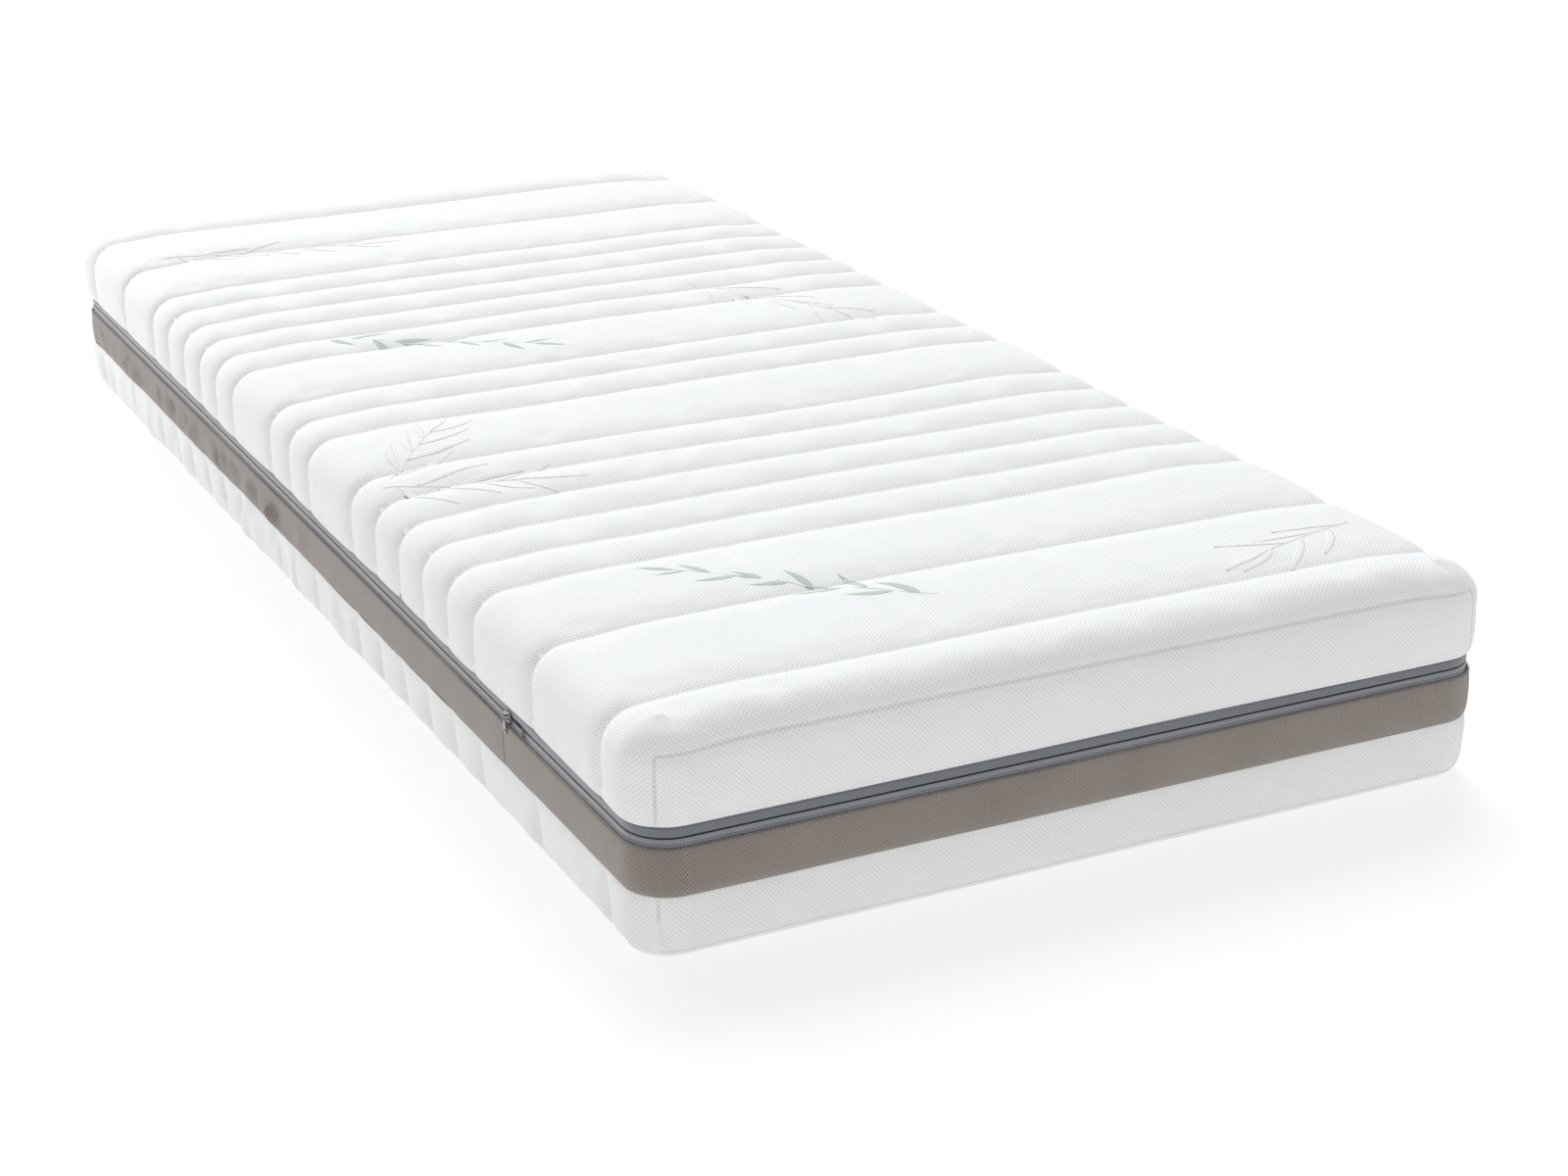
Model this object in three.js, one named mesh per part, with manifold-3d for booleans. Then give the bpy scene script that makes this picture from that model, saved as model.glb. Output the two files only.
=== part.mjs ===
// Pressure relief mattress: a zip-off quilted cover over a layered, zoned foam core.
// Millimetres, +Z up, +Y towards the head end. The origin is the centre of the underside.

import * as THREE from 'three';
import { mergeVertices } from 'three/addons/utils/BufferGeometryUtils.js';
import Module from 'manifold-3d';

const wasm = await Module();
wasm.setup();

// ---- Driving dimensions ----

const WIDTH = 900;
const LENGTH = 2000;
const HEIGHT = 220;
const CORNER_R = 45; // corners seen from above
const TOP_EDGE_R = 35;
const BOTTOM_EDGE_R = 20;
const CLEAR = 0.3; // left between neighbours that touch
const CORNER_STEPS = 3; // an arc gets two facets for each step
const EDGE_STEPS = 3; // facets round a quarter edge
const FINE_STEPS = 6; // for the outlines of the zip's small pieces

// Heights of the border, from the floor up
const BAND_BOTTOM = 64;
const BAND_TOP = 111;
const ZIP_CENTRE = 119;
const TOP_HEM = 131; // lower edge of the upper cover

// Cover build-up, outside to inside
const KNIT = 2;
const WADDING = 9;
const BACKING = 1;
const KNIT_INSET = 0;
const WADDING_INSET = KNIT + CLEAR;
const BACKING_INSET = WADDING_INSET + WADDING + CLEAR;
const CORE_INSET = BACKING_INSET + BACKING + CLEAR;

// End panels are sewn in between the long side panels
const CORNER_SEAM_ANGLE = THREE.MathUtils.degToRad(55); // round the corner from the long side
const CORNER_SEAM_X = WIDTH / 2 - CORNER_R * (1 - Math.cos(CORNER_SEAM_ANGLE));
const END_SEAM_TOP = 201;
const END_SEAM_BOTTOM = 8;

// Border band and zip
const BAND = 2.5;
const TAPE_INSET = 3;
const TAPE = 1;
const TAPE_HEM = 6; // tape hidden behind the cover and the band
const COIL_INSET = TAPE_INSET + TAPE + CLEAR;
const COIL_DEPTH = 2.5;
const COIL_HEIGHT = 3;
const ZIP_SLIT = 2; // between the two tapes, where the slider's web runs

// Slider, its loop and its pull
const SLIDER_Y = -685; // where it rests with the zip closed
const SLIDER_LENGTH = 16;
const SLIDER_HEIGHT = 12;
const SLIDER_TAIL = 8;
const SLIDER_PLATE = 1.8;
const WEB = 1.4;
const WEB_LENGTH = 4;
const WEB_SETBACK = 1;
const LOOP_R = 0.7;
const LOOP_SPAN = 11;
const POST_HEIGHT = 2;
const EYE_R = 1.75;
const EYE_WIRE_R = 0.55;
const EYE_GAP = 0.4;
const PULL_WIDTH = 7;
const PULL_LENGTH = 15;
const PULL_THICK = 1.2;
const PULL_HOLE_R = 1.5;
const STOP_Y = -726;
const STOP_LENGTH = 4;

// Foam core, from the floor up
const BASE_TOP = 43;
const ZONE_TOP = 157;
const CHANNEL = 75; // a narrow quilt channel, which also sets the lengths of the zones
const SLOT = 8;
const SLOT_DEPTH = 45;
const NARROW_IN_SHOULDER = 5;
const NARROW_IN_MIDDLE = 2;
const END_ZONE = (LENGTH - 2 * NARROW_IN_SHOULDER * CHANNEL - 3 * NARROW_IN_MIDDLE * CHANNEL) / 2;

// Zones from the head to the foot, with the slots cut into each from above
const ZONES = [
  { name: 'head', length: END_ZONE, slots: 3 },
  { name: 'shoulder', length: NARROW_IN_SHOULDER * CHANNEL, slots: 9 },
  { name: 'lumbar', length: NARROW_IN_MIDDLE * CHANNEL, slots: 1 },
  { name: 'pelvis', length: NARROW_IN_MIDDLE * CHANNEL, slots: 3 },
  { name: 'thigh', length: NARROW_IN_MIDDLE * CHANNEL, slots: 1 },
  { name: 'calf', length: NARROW_IN_SHOULDER * CHANNEL, slots: 9 },
  { name: 'foot', length: END_ZONE, slots: 3 },
];

const FAR = 5000; // past the object in any direction

// ---- Solids ----

function solid(geometry) {
  geometry.deleteAttribute('normal');
  geometry.deleteAttribute('uv');
  const merged = mergeVertices(geometry, 1e-4);
  return new wasm.Manifold(new wasm.Mesh({
    numProp: 3,
    vertProperties: new Float32Array(merged.attributes.position.array),
    triVerts: new Uint32Array(merged.index.array),
  }));
}

function box(x0, x1, y0, y1, z0, z1) {
  const geometry = new THREE.BoxGeometry(x1 - x0, y1 - y0, z1 - z0);
  geometry.translate((x0 + x1) / 2, (y0 + y1) / 2, (z0 + z1) / 2);
  return solid(geometry);
}

function layer(z0, z1) {
  return box(-FAR, FAR, -FAR, FAR, z0, z1);
}

function outline(path, inset) {
  const x = WIDTH / 2 - CORNER_R;
  const y = LENGTH / 2 - CORNER_R;
  const r = CORNER_R - inset;
  const quarter = Math.PI / 2;
  path.absarc(x, y, r, 0, quarter);
  path.absarc(-x, y, r, quarter, 2 * quarter);
  path.absarc(-x, -y, r, 2 * quarter, 3 * quarter);
  path.absarc(x, -y, r, 3 * quarter, 4 * quarter);
  path.closePath();
  return path;
}

// The mattress's own form, moved in by an inset, with both edges rounded
function form(inset, edgeRadius) {
  const edge = edgeRadius - inset;
  const geometry = new THREE.ExtrudeGeometry(outline(new THREE.Shape(), inset), {
    depth: HEIGHT - 2 * edgeRadius,
    bevelEnabled: true,
    bevelThickness: edge,
    bevelSize: edge,
    bevelOffset: -edge,
    bevelSegments: EDGE_STEPS,
    curveSegments: CORNER_STEPS,
  });
  geometry.translate(0, 0, edgeRadius);
  return solid(geometry);
}

function shell(inset, thickness, edgeRadius, z0, z1) {
  return form(inset, edgeRadius).subtract(form(inset + thickness, edgeRadius)).intersect(layer(z0, z1));
}

// A strip that runs all the way round the upright border
function ring(inset, thickness, z0, z1) {
  const shape = outline(new THREE.Shape(), inset);
  shape.holes.push(outline(new THREE.Path(), inset + thickness));
  const geometry = new THREE.ExtrudeGeometry(shape, {
    depth: z1 - z0,
    bevelEnabled: false,
    curveSegments: CORNER_STEPS,
  });
  geometry.translate(0, 0, z0);
  return solid(geometry);
}

// A flat plate whose outline is drawn in Y and Z, between two values of X
function sidePlate(shape, x0, x1) {
  const geometry = new THREE.ExtrudeGeometry(shape, {
    depth: x1 - x0,
    bevelEnabled: false,
    curveSegments: FINE_STEPS,
  });
  geometry.applyMatrix4(new THREE.Matrix4().makeBasis(
    new THREE.Vector3(0, 1, 0),
    new THREE.Vector3(0, 0, 1),
    new THREE.Vector3(1, 0, 0),
  ));
  geometry.translate(x0, 0, 0);
  return solid(geometry);
}

// ---- Materials ----

function material(color, roughness, metalness = 0) {
  return new THREE.MeshStandardMaterial({ color, roughness, metalness });
}

const whiteKnit = material('#eef1f4', 0.9);
const whiteWadding = material('#f7f7f5', 1);
const whiteBacking = material('#e6e7e8', 0.9);
const taupeMesh = material('#8c827d', 0.95);
const greyTape = material('#6f767f', 0.85);
const greyCoil = material('#5d646d', 0.5);
const bareMetal = material('#b4b7ba', 0.3, 1);
const comfortFoam = material('#f3ead2', 0.95);
const zoneFoam = material('#e4ebf0', 0.95);
const baseFoam = material('#d3d9dd', 0.95);

// ---- Assembly ----

const mattress = new THREE.Group();

function add(group, name, body, finish) {
  const mesh = body.getMesh();
  const geometry = new THREE.BufferGeometry();
  geometry.setAttribute('position', new THREE.BufferAttribute(mesh.vertProperties, mesh.numProp));
  geometry.setIndex(new THREE.BufferAttribute(mesh.triVerts, 1));
  geometry.computeVertexNormals();
  const piece = new THREE.Mesh(geometry, finish);
  piece.name = name;
  group.add(piece);
}

// The space that an end panel fills in a cover; side is +1 at the head and -1 at the foot
function endPanelSpace(side, z0, z1, spare) {
  const x = CORNER_SEAM_X + spare;
  const inner = LENGTH / 2 - CORNER_R;
  const ys = [side * inner, side * FAR];
  return box(-x, x, Math.min(...ys), Math.max(...ys), z0 - spare, z1 + spare);
}

// The knit of one cover half: a quilted panel over the face and both long sides, and two end panels
function addKnit(group, prefix, edgeRadius, z0, z1, seamLow, seamHigh) {
  const whole = shell(KNIT_INSET, KNIT, edgeRadius, z0, z1);
  let panel = whole;
  for (const [end, side] of [['head', 1], ['foot', -1]]) {
    const endPanel = whole.intersect(endPanelSpace(side, seamLow, seamHigh, 0));
    panel = panel.subtract(endPanelSpace(side, seamLow, seamHigh, CLEAR));
    add(group, `${prefix}_end_panel_${end}`, endPanel, whiteKnit);
  }
  add(group, `${prefix}_quilt_panel`, panel, whiteKnit);
}

function addUpperCover(group) {
  const waddingHem = TOP_HEM + TAPE_HEM + CLEAR;
  const tapeLow = ZIP_CENTRE + ZIP_SLIT / 2;
  addKnit(group, 'top', TOP_EDGE_R, TOP_HEM, FAR, -FAR, END_SEAM_TOP);
  add(group, 'top_wadding', shell(WADDING_INSET, WADDING, TOP_EDGE_R, waddingHem, FAR), whiteWadding);
  add(group, 'top_backing', shell(BACKING_INSET, BACKING, TOP_EDGE_R, TOP_HEM, FAR), whiteBacking);
  add(group, 'upper_zip_tape', ring(TAPE_INSET, TAPE, tapeLow, TOP_HEM + TAPE_HEM), greyTape);
  add(group, 'upper_zip_coil', ring(COIL_INSET, COIL_DEPTH, tapeLow, tapeLow + COIL_HEIGHT), greyCoil);
}

function addLowerCover(group) {
  const hem = BAND_BOTTOM - CLEAR;
  const tapeHigh = ZIP_CENTRE - ZIP_SLIT / 2;
  addKnit(group, 'lower', BOTTOM_EDGE_R, -FAR, hem, END_SEAM_BOTTOM, FAR);
  add(group, 'lower_wadding', shell(WADDING_INSET, WADDING, BOTTOM_EDGE_R, -FAR, hem), whiteWadding);
  add(group, 'lower_backing', shell(BACKING_INSET, BACKING, BOTTOM_EDGE_R, -FAR, hem), whiteBacking);
  add(group, 'side_band', ring(KNIT_INSET, BAND, BAND_BOTTOM, BAND_TOP), taupeMesh);
  add(group, 'lower_zip_tape', ring(TAPE_INSET, TAPE, BAND_TOP - TAPE_HEM, tapeHigh), greyTape);
  add(group, 'lower_zip_coil', ring(COIL_INSET, COIL_DEPTH, tapeHigh - COIL_HEIGHT, tapeHigh), greyCoil);
}

// One foam block of the zoned layer, from y0 to y1, slotted across from above
function zoneBlock(core, y0, y1, slots) {
  let block = core.intersect(box(-FAR, FAR, y0, y1, BASE_TOP + CLEAR, ZONE_TOP));
  const pitch = (y1 - y0) / (slots + 1);
  for (let i = 1; i <= slots; i += 1) {
    const y = y0 + i * pitch;
    block = block.subtract(box(-FAR, FAR, y - SLOT / 2, y + SLOT / 2, ZONE_TOP - SLOT_DEPTH, FAR));
  }
  return block;
}

function addCore(group) {
  const upper = form(CORE_INSET, TOP_EDGE_R);
  const lower = form(CORE_INSET, BOTTOM_EDGE_R);
  add(group, 'comfort_layer', upper.intersect(layer(ZONE_TOP + CLEAR, FAR)), comfortFoam);
  add(group, 'base_layer', lower.intersect(layer(-FAR, BASE_TOP)), baseFoam);
  let high = LENGTH / 2;
  for (const { name, length, slots } of ZONES) {
    const low = high - length;
    const block = zoneBlock(upper, low + CLEAR / 2, high - CLEAR / 2, slots);
    add(group, `zone_${name}`, block, zoneFoam);
    high = low;
  }
}

// ---- Zip slider and pull, on the left long side ----

const SIDE = -WIDTH / 2;
const SLIDER_FACE = SIDE + TAPE_INSET - CLEAR - SLIDER_PLATE; // outer face of the outer plate
const INNER_PLATE = SIDE + COIL_INSET + COIL_DEPTH + CLEAR;
const LOOP_X = SLIDER_FACE - EYE_R - EYE_WIRE_R - EYE_GAP;

// Wide shoulders towards the foot, where the open tapes enter, and a narrow tail towards the head
function sliderOutline() {
  const half = SLIDER_LENGTH / 2;
  const wide = SLIDER_HEIGHT / 2;
  const tail = SLIDER_TAIL / 2;
  const round = 2;
  const shape = new THREE.Shape();
  shape.moveTo(SLIDER_Y - half, ZIP_CENTRE - wide + round);
  shape.quadraticCurveTo(SLIDER_Y - half, ZIP_CENTRE - wide, SLIDER_Y - half + round, ZIP_CENTRE - wide);
  shape.quadraticCurveTo(SLIDER_Y, ZIP_CENTRE - wide, SLIDER_Y + half, ZIP_CENTRE - tail);
  shape.lineTo(SLIDER_Y + half, ZIP_CENTRE + tail);
  shape.quadraticCurveTo(SLIDER_Y, ZIP_CENTRE + wide, SLIDER_Y - half + round, ZIP_CENTRE + wide);
  shape.quadraticCurveTo(SLIDER_Y - half, ZIP_CENTRE + wide, SLIDER_Y - half, ZIP_CENTRE + wide - round);
  shape.closePath();
  return shape;
}

// A bar beside the outer plate, on a post at each end, that the pull's eye hangs on
function sliderLoop() {
  const bar = new THREE.CylinderGeometry(LOOP_R, LOOP_R, LOOP_SPAN, 16);
  bar.translate(LOOP_X, SLIDER_Y, ZIP_CENTRE);
  let loop = solid(bar);
  for (const side of [-1, 1]) {
    const y = SLIDER_Y + side * (LOOP_SPAN / 2 - LOOP_R);
    const root = SLIDER_FACE + SLIDER_PLATE / 2;
    const low = ZIP_CENTRE - POST_HEIGHT / 2;
    loop = loop.add(box(LOOP_X - LOOP_R, root, y - LOOP_R, y + LOOP_R, low, low + POST_HEIGHT));
  }
  return loop;
}

function zipSlider() {
  const outer = sidePlate(sliderOutline(), SLIDER_FACE, SLIDER_FACE + SLIDER_PLATE);
  const inner = sidePlate(sliderOutline(), INNER_PLATE, INNER_PLATE + SLIDER_PLATE);
  const front = SLIDER_Y - SLIDER_LENGTH / 2 + WEB_SETBACK;
  const web = box(
    SLIDER_FACE + SLIDER_PLATE / 2,
    INNER_PLATE + SLIDER_PLATE / 2,
    front,
    front + WEB_LENGTH,
    ZIP_CENTRE - WEB / 2,
    ZIP_CENTRE + WEB / 2,
  );
  return outer.add(inner).add(web).add(sliderLoop());
}

// A flat tab that hangs from an eye round the slider's bar
function zipPull() {
  const eye = new THREE.TorusGeometry(EYE_R, EYE_WIRE_R, 10, 24);
  eye.rotateX(Math.PI / 2);
  eye.translate(LOOP_X, SLIDER_Y, ZIP_CENTRE);
  const top = ZIP_CENTRE - EYE_R;
  const low = top - PULL_LENGTH;
  const end = PULL_WIDTH / 2;
  const neck = EYE_R;
  const shape = new THREE.Shape();
  shape.moveTo(SLIDER_Y - neck, top);
  shape.quadraticCurveTo(SLIDER_Y - neck, top - end, SLIDER_Y - end, top - 2 * end);
  shape.lineTo(SLIDER_Y - end, low + end);
  shape.absarc(SLIDER_Y, low + end, end, Math.PI, 2 * Math.PI);
  shape.lineTo(SLIDER_Y + end, top - 2 * end);
  shape.quadraticCurveTo(SLIDER_Y + neck, top - end, SLIDER_Y + neck, top);
  shape.closePath();
  const hole = new THREE.Path();
  hole.absarc(SLIDER_Y, low + end, PULL_HOLE_R, 0, 2 * Math.PI);
  shape.holes.push(hole);
  const bore = new THREE.CylinderGeometry(EYE_R, EYE_R, PULL_WIDTH, 24);
  bore.translate(LOOP_X, SLIDER_Y, ZIP_CENTRE);
  const tab = sidePlate(shape, LOOP_X - PULL_THICK / 2, LOOP_X + PULL_THICK / 2).subtract(solid(bore));
  return tab.add(solid(eye));
}

// A bar stitched across the lower tape where the zip begins
function zipStop() {
  const z = ZIP_CENTRE - ZIP_SLIT / 2;
  return box(SLIDER_FACE, SIDE + TAPE_INSET - CLEAR, STOP_Y, STOP_Y + STOP_LENGTH, z - SLIDER_HEIGHT / 2, z);
}

addUpperCover(mattress);
addLowerCover(mattress);
addCore(mattress);
add(mattress, 'zip_slider', zipSlider(), bareMetal);
add(mattress, 'zip_pull', zipPull(), bareMetal);
add(mattress, 'zip_stop', zipStop(), greyCoil);

export default mattress;
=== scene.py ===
"""Looks of the pressure relief mattress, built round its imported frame.

Metres, +Z up, +Y towards the head end. The camera stands at the foot end, on the left.
"""

from math import acos, atan2, cos, pi, radians, sin

import bmesh
import bpy
import numpy as np
from mathutils import Euler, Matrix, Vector
from mathutils.bvhtree import BVHTree
from numpy.linalg import norm


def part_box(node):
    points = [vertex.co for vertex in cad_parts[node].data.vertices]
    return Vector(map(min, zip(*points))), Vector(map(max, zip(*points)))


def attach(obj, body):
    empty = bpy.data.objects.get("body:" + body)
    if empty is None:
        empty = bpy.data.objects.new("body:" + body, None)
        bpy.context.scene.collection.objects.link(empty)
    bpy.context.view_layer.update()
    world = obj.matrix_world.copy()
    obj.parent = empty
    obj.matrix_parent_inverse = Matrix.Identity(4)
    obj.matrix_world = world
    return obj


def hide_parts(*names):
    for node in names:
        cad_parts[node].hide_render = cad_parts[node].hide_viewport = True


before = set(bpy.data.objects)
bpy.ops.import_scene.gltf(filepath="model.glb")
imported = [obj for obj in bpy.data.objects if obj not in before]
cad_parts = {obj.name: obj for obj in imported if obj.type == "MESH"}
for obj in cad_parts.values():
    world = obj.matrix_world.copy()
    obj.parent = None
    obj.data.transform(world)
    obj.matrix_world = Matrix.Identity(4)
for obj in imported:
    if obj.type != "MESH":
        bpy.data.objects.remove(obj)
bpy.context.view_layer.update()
scene = bpy.context.scene

MM = 0.001

# ---- Dimensions that the frame gives ----

panel_low, panel_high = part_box("top_quilt_panel")
band_low, band_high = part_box("side_band")
upper_tape_low, upper_tape_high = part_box("upper_zip_tape")
lower_tape_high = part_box("lower_zip_tape")[1]
end_panel_low, end_panel_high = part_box("top_end_panel_foot")
slider_low, slider_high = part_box("zip_slider")
stop_low, stop_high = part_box("zip_stop")
comfort_low, comfort_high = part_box("comfort_layer")
base_low, base_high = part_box("base_layer")

HALF_W = panel_high.x
HALF_L = -end_panel_low.y
HEIGHT = panel_high.z
TOP_HEM = panel_low.z
LOW_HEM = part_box("lower_quilt_panel")[1].z
ZIP_CENTRE = (upper_tape_low.z + lower_tape_high.z) / 2
SLIDER_Y = (slider_low.y + slider_high.y) / 2
CORE_INSET = HALF_W - comfort_high.x

# ---- The object's own roundings and build-up ----

CORNER_R = 45 * MM
TOP_EDGE_R = 35 * MM
BOTTOM_EDGE_R = 20 * MM
KNIT = 2 * MM
WADDING_OUT = 2.3 * MM
WADDING_IN = 11.3 * MM
BACKING_OUT = 11.6 * MM
BACKING = 1 * MM
END_SEAM_TOP = end_panel_high.z
END_SEAM_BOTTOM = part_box("lower_end_panel_foot")[0].z
CORNER_SEAM = radians(55)

# ---- Quilting ----

CHANNELS_TO_CENTRE = [85, 165, 150, 75, 75, 75, 75, 75, 150, 75]
CHANNELS = np.array(CHANNELS_TO_CENTRE + CHANNELS_TO_CENTRE[::-1]) * MM
SEAMS_AND_ENDS = np.concatenate([[0], np.cumsum(CHANNELS)]) - HALF_L
SEAMS = SEAMS_AND_ENDS[1:-1]
SEAM_DEPTH = 4.5 * MM
PUFF = 7.5 * MM
CREASE = 4.5 * MM
PILLOW = 22 * MM
END_SEAM_DEPTH = 1.3 * MM
END_BULGE = 2.5 * MM
DEEPEST = 7.2 * MM
SCALLOP = 0.8 * MM
HEM_REACH = 22 * MM
HEM_TUCK = 0.8 * MM
CROWN = 7 * MM
CROWN_REACH = 130 * MM
END_SOFTNESS = 9 * MM
LOW_TAPER = 4 * MM
LOW_PUFF = 7 * MM
LOW_FOLD = 5 * MM
UNDER_GROOVE = 1.5 * MM
UNEVENNESS = 1.2 * MM
HEM_FLATTENING = 0.8
SCALLOP_REACH = 40 * MM
SEAM_SLACK = 0.1 * MM
PLEAT_WIDTH = 12 * MM


def smooth(t):
    t = np.clip(t, 0, 1)
    return t * t * (3 - 2 * t)


# ---- Mesh helpers ----


def new_object(name, points, faces, attributes=None):
    """A smooth-shaded mesh object. attributes is {name: an array of one vector for each point}."""
    mesh = bpy.data.meshes.new(name)
    mesh.from_pydata(np.asarray(points).tolist(), [], [tuple(int(i) for i in f) for f in faces])
    for key, values in (attributes or {}).items():
        layer = mesh.attributes.new(key, "FLOAT_VECTOR", "POINT")
        layer.data.foreach_set("vector", np.asarray(values, np.float32).ravel())
    mesh.polygons.foreach_set("use_smooth", [True] * len(mesh.polygons))
    mesh.update()
    obj = bpy.data.objects.new(name, mesh)
    scene.collection.objects.link(obj)
    return obj


def coordinates(obj):
    values = np.zeros(len(obj.data.vertices) * 3, np.float32)
    obj.data.vertices.foreach_get("co", values)
    return values.reshape(-1, 3).astype(float)


def settle(piece, body, node=None):
    """Says what a piece rides, and hides the CAD node that it stands for."""
    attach(piece, body)
    if node is not None:
        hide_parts(node)
    return piece


def tree_of(obj):
    """The mesh as a tree for ray casts."""
    faces = [tuple(face.vertices) for face in obj.data.polygons]
    return BVHTree.FromPolygons(coordinates(obj).tolist(), faces)


def set_coordinates(obj, values):
    obj.data.vertices.foreach_set("co", np.asarray(values, np.float32).ravel())
    obj.data.update()


def subset(points, faces):
    """Only the points that these faces use."""
    used = np.unique(np.concatenate([np.asarray(f) for f in faces]))
    place = np.full(len(points), -1)
    place[used] = np.arange(len(used))
    return points[used], [place[np.asarray(f)] for f in faces]


def face_outwards(obj):
    """Turns all faces of a closed mesh to face outwards."""
    work = bmesh.new()
    work.from_mesh(obj.data)
    bmesh.ops.recalc_face_normals(work, faces=work.faces)
    work.to_mesh(obj.data)
    work.free()


def apply_modifiers(obj):
    graph = bpy.context.evaluated_depsgraph_get()
    made = bpy.data.meshes.new_from_object(obj.evaluated_get(graph), depsgraph=graph)
    obj.modifiers.clear()
    obj.data = made


def subdivide(obj):
    modifier = obj.modifiers.new("Subdivision", "SUBSURF")
    modifier.levels = modifier.render_levels = 1
    modifier.boundary_smooth = "PRESERVE_CORNERS"


def solidify(obj, thickness):
    modifier = obj.modifiers.new("Solidify", "SOLIDIFY")
    modifier.thickness = thickness
    modifier.offset = -1


def bevel(obj, width, angle=35):
    modifier = obj.modifiers.new("Bevel", "BEVEL")
    modifier.width = width
    modifier.segments = 2
    modifier.limit_method = "ANGLE"
    modifier.angle_limit = radians(angle)
    modifier.harden_normals = True


# ---- Stations round the border ----

INNER_X = HALF_W - CORNER_R
INNER_Y = HALF_L - CORNER_R


def between(marks, spacing, gather=False):
    """The marks, with values between each two of them: evenly spaced, or gathered towards the marks."""
    made = [marks[0]]
    for a, b in zip(marks[:-1], marks[1:]):
        count = max(2, round((b - a) / spacing))
        for i in range(count):
            share = (i + 1) / count
            made.append(a + (b - a) * ((1 - cos(pi * share)) / 2 if gather else share))
    return np.array(made)


CORNER_TURNS = np.concatenate([
    np.linspace(0, CORNER_SEAM, 7)[1:],
    np.linspace(CORNER_SEAM, pi / 2, 5)[1:-1],
])


class Border:
    """Stations round the mattress, anticlockwise from above.

    base and out give each station's place and outward direction, turn its angle from the long side, and along
    its distance along the border. xs and ys are the grid of the faces between them."""

    def __init__(self, spacing_along, spacing_across, gather):
        self.ys = between([-INNER_Y, *SEAMS, INNER_Y], spacing_along, gather)
        self.xs = between([-INNER_X, 0, INNER_X], spacing_across)
        stations = [(INNER_X, y, 1, 0, 0) for y in self.ys]
        stations += self.corner(1, 1, CORNER_TURNS)
        stations += [(x, INNER_Y, 0, 1, pi / 2) for x in self.xs[::-1]]
        stations += self.corner(-1, 1, CORNER_TURNS[::-1])
        stations += [(-INNER_X, y, -1, 0, 0) for y in self.ys[::-1]]
        stations += self.corner(-1, -1, CORNER_TURNS)
        stations += [(x, -INNER_Y, 0, -1, pi / 2) for x in self.xs]
        stations += self.corner(1, -1, CORNER_TURNS[::-1])
        values = np.array(stations, float)
        self.base, self.out, self.turn = values[:, :2], values[:, 2:4], values[:, 4]
        rim = self.base + self.out * CORNER_R
        steps = norm(np.roll(rim, -1, axis=0) - rim, axis=1)
        self.along = np.concatenate([[0], np.cumsum(steps)])
        self.count = len(values)

    @staticmethod
    def corner(sx, sy, turns):
        return [(sx * INNER_X, sy * INNER_Y, sx * cos(t), sy * sin(t), t) for t in turns]


FINE = Border(9.5 * MM, 15 * MM, gather=True)
COARSE = Border(15 * MM, 60 * MM, gather=False)
PERIMETER = FINE.along[-1]


def face_rows(z, down, radius, hem, steps, drop, inset=0.0, tilt=None):
    """Rows of (inset, z, tilt, run) from the flat face over the rounded edge and the upright side to the hem.

    tilt, an angle from the face's normal, is one to which the nearest row is moved."""
    sign = -1 if down else 1
    edge = radius - inset
    rows = [(CORNER_R, z, 0.0, 0.0)]
    run = CORNER_R - radius
    tilts = np.linspace(0, pi / 2, steps + 1)
    if tilt is not None:
        tilts[1 + np.argmin(np.abs(tilts[1:-1] - tilt))] = tilt
    for t in tilts:
        rows.append((radius - edge * sin(t), z - sign * edge * (1 - cos(t)), t, run + edge * t))
    run += edge * pi / 2
    start = z - sign * edge
    for i in range(1, drop + 1):
        rows.append((inset, start + (hem - start) * i / drop, pi / 2, run + abs(hem - start) * i / drop))
    return np.array(rows)


def ring_points(rows, border=FINE):
    """Points of rows of (inset, z, ...) all the way round."""
    inset, z = rows[:, 0], rows[:, 1]
    points = np.zeros((border.count, len(rows), 3))
    points[:, :, :2] = border.base[:, None, :] + border.out[:, None, :] * (CORNER_R - inset)[None, :, None]
    points[:, :, 2] = z[None, :]
    return points


def ring_faces(count, border=FINE, closed_rows=False):
    """Quads of a grid of stations by rows, which face outwards where the rows run from the top downwards."""
    i, j = np.meshgrid(np.arange(border.count), np.arange(count if closed_rows else count - 1), indexing="ij")
    i2, j2 = (i + 1) % border.count, (j + 1) % count
    quads = np.stack([i * count + j, i * count + j2, i2 * count + j2, i2 * count + j], -1)
    return quads.reshape(-1, 4), i.ravel(), j.ravel()


def face_grid(z, border, start):
    """Points and quads of a flat face inside the stations, facing up. start numbers its first point."""
    xs, ys = np.meshgrid(border.xs, border.ys, indexing="ij")
    points = np.stack([xs, ys, np.full_like(xs, z)], -1).reshape(-1, 3)
    n = len(border.ys)
    i, j = np.meshgrid(np.arange(len(border.xs) - 1), np.arange(n - 1), indexing="ij")
    quads = np.stack([i * n + j, (i + 1) * n + j, (i + 1) * n + j + 1, i * n + j + 1], -1) + start
    return points, quads.reshape(-1, 4)


def ring_normals(rows, down, border=FINE):
    normals = np.zeros((border.count, len(rows), 3))
    normals[:, :, :2] = border.out[:, None, :] * np.sin(rows[:, 2])[None, :, None]
    normals[:, :, 2] = (-1 if down else 1) * np.cos(rows[:, 2])[None, :]
    return normals.reshape(-1, 3)


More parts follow.
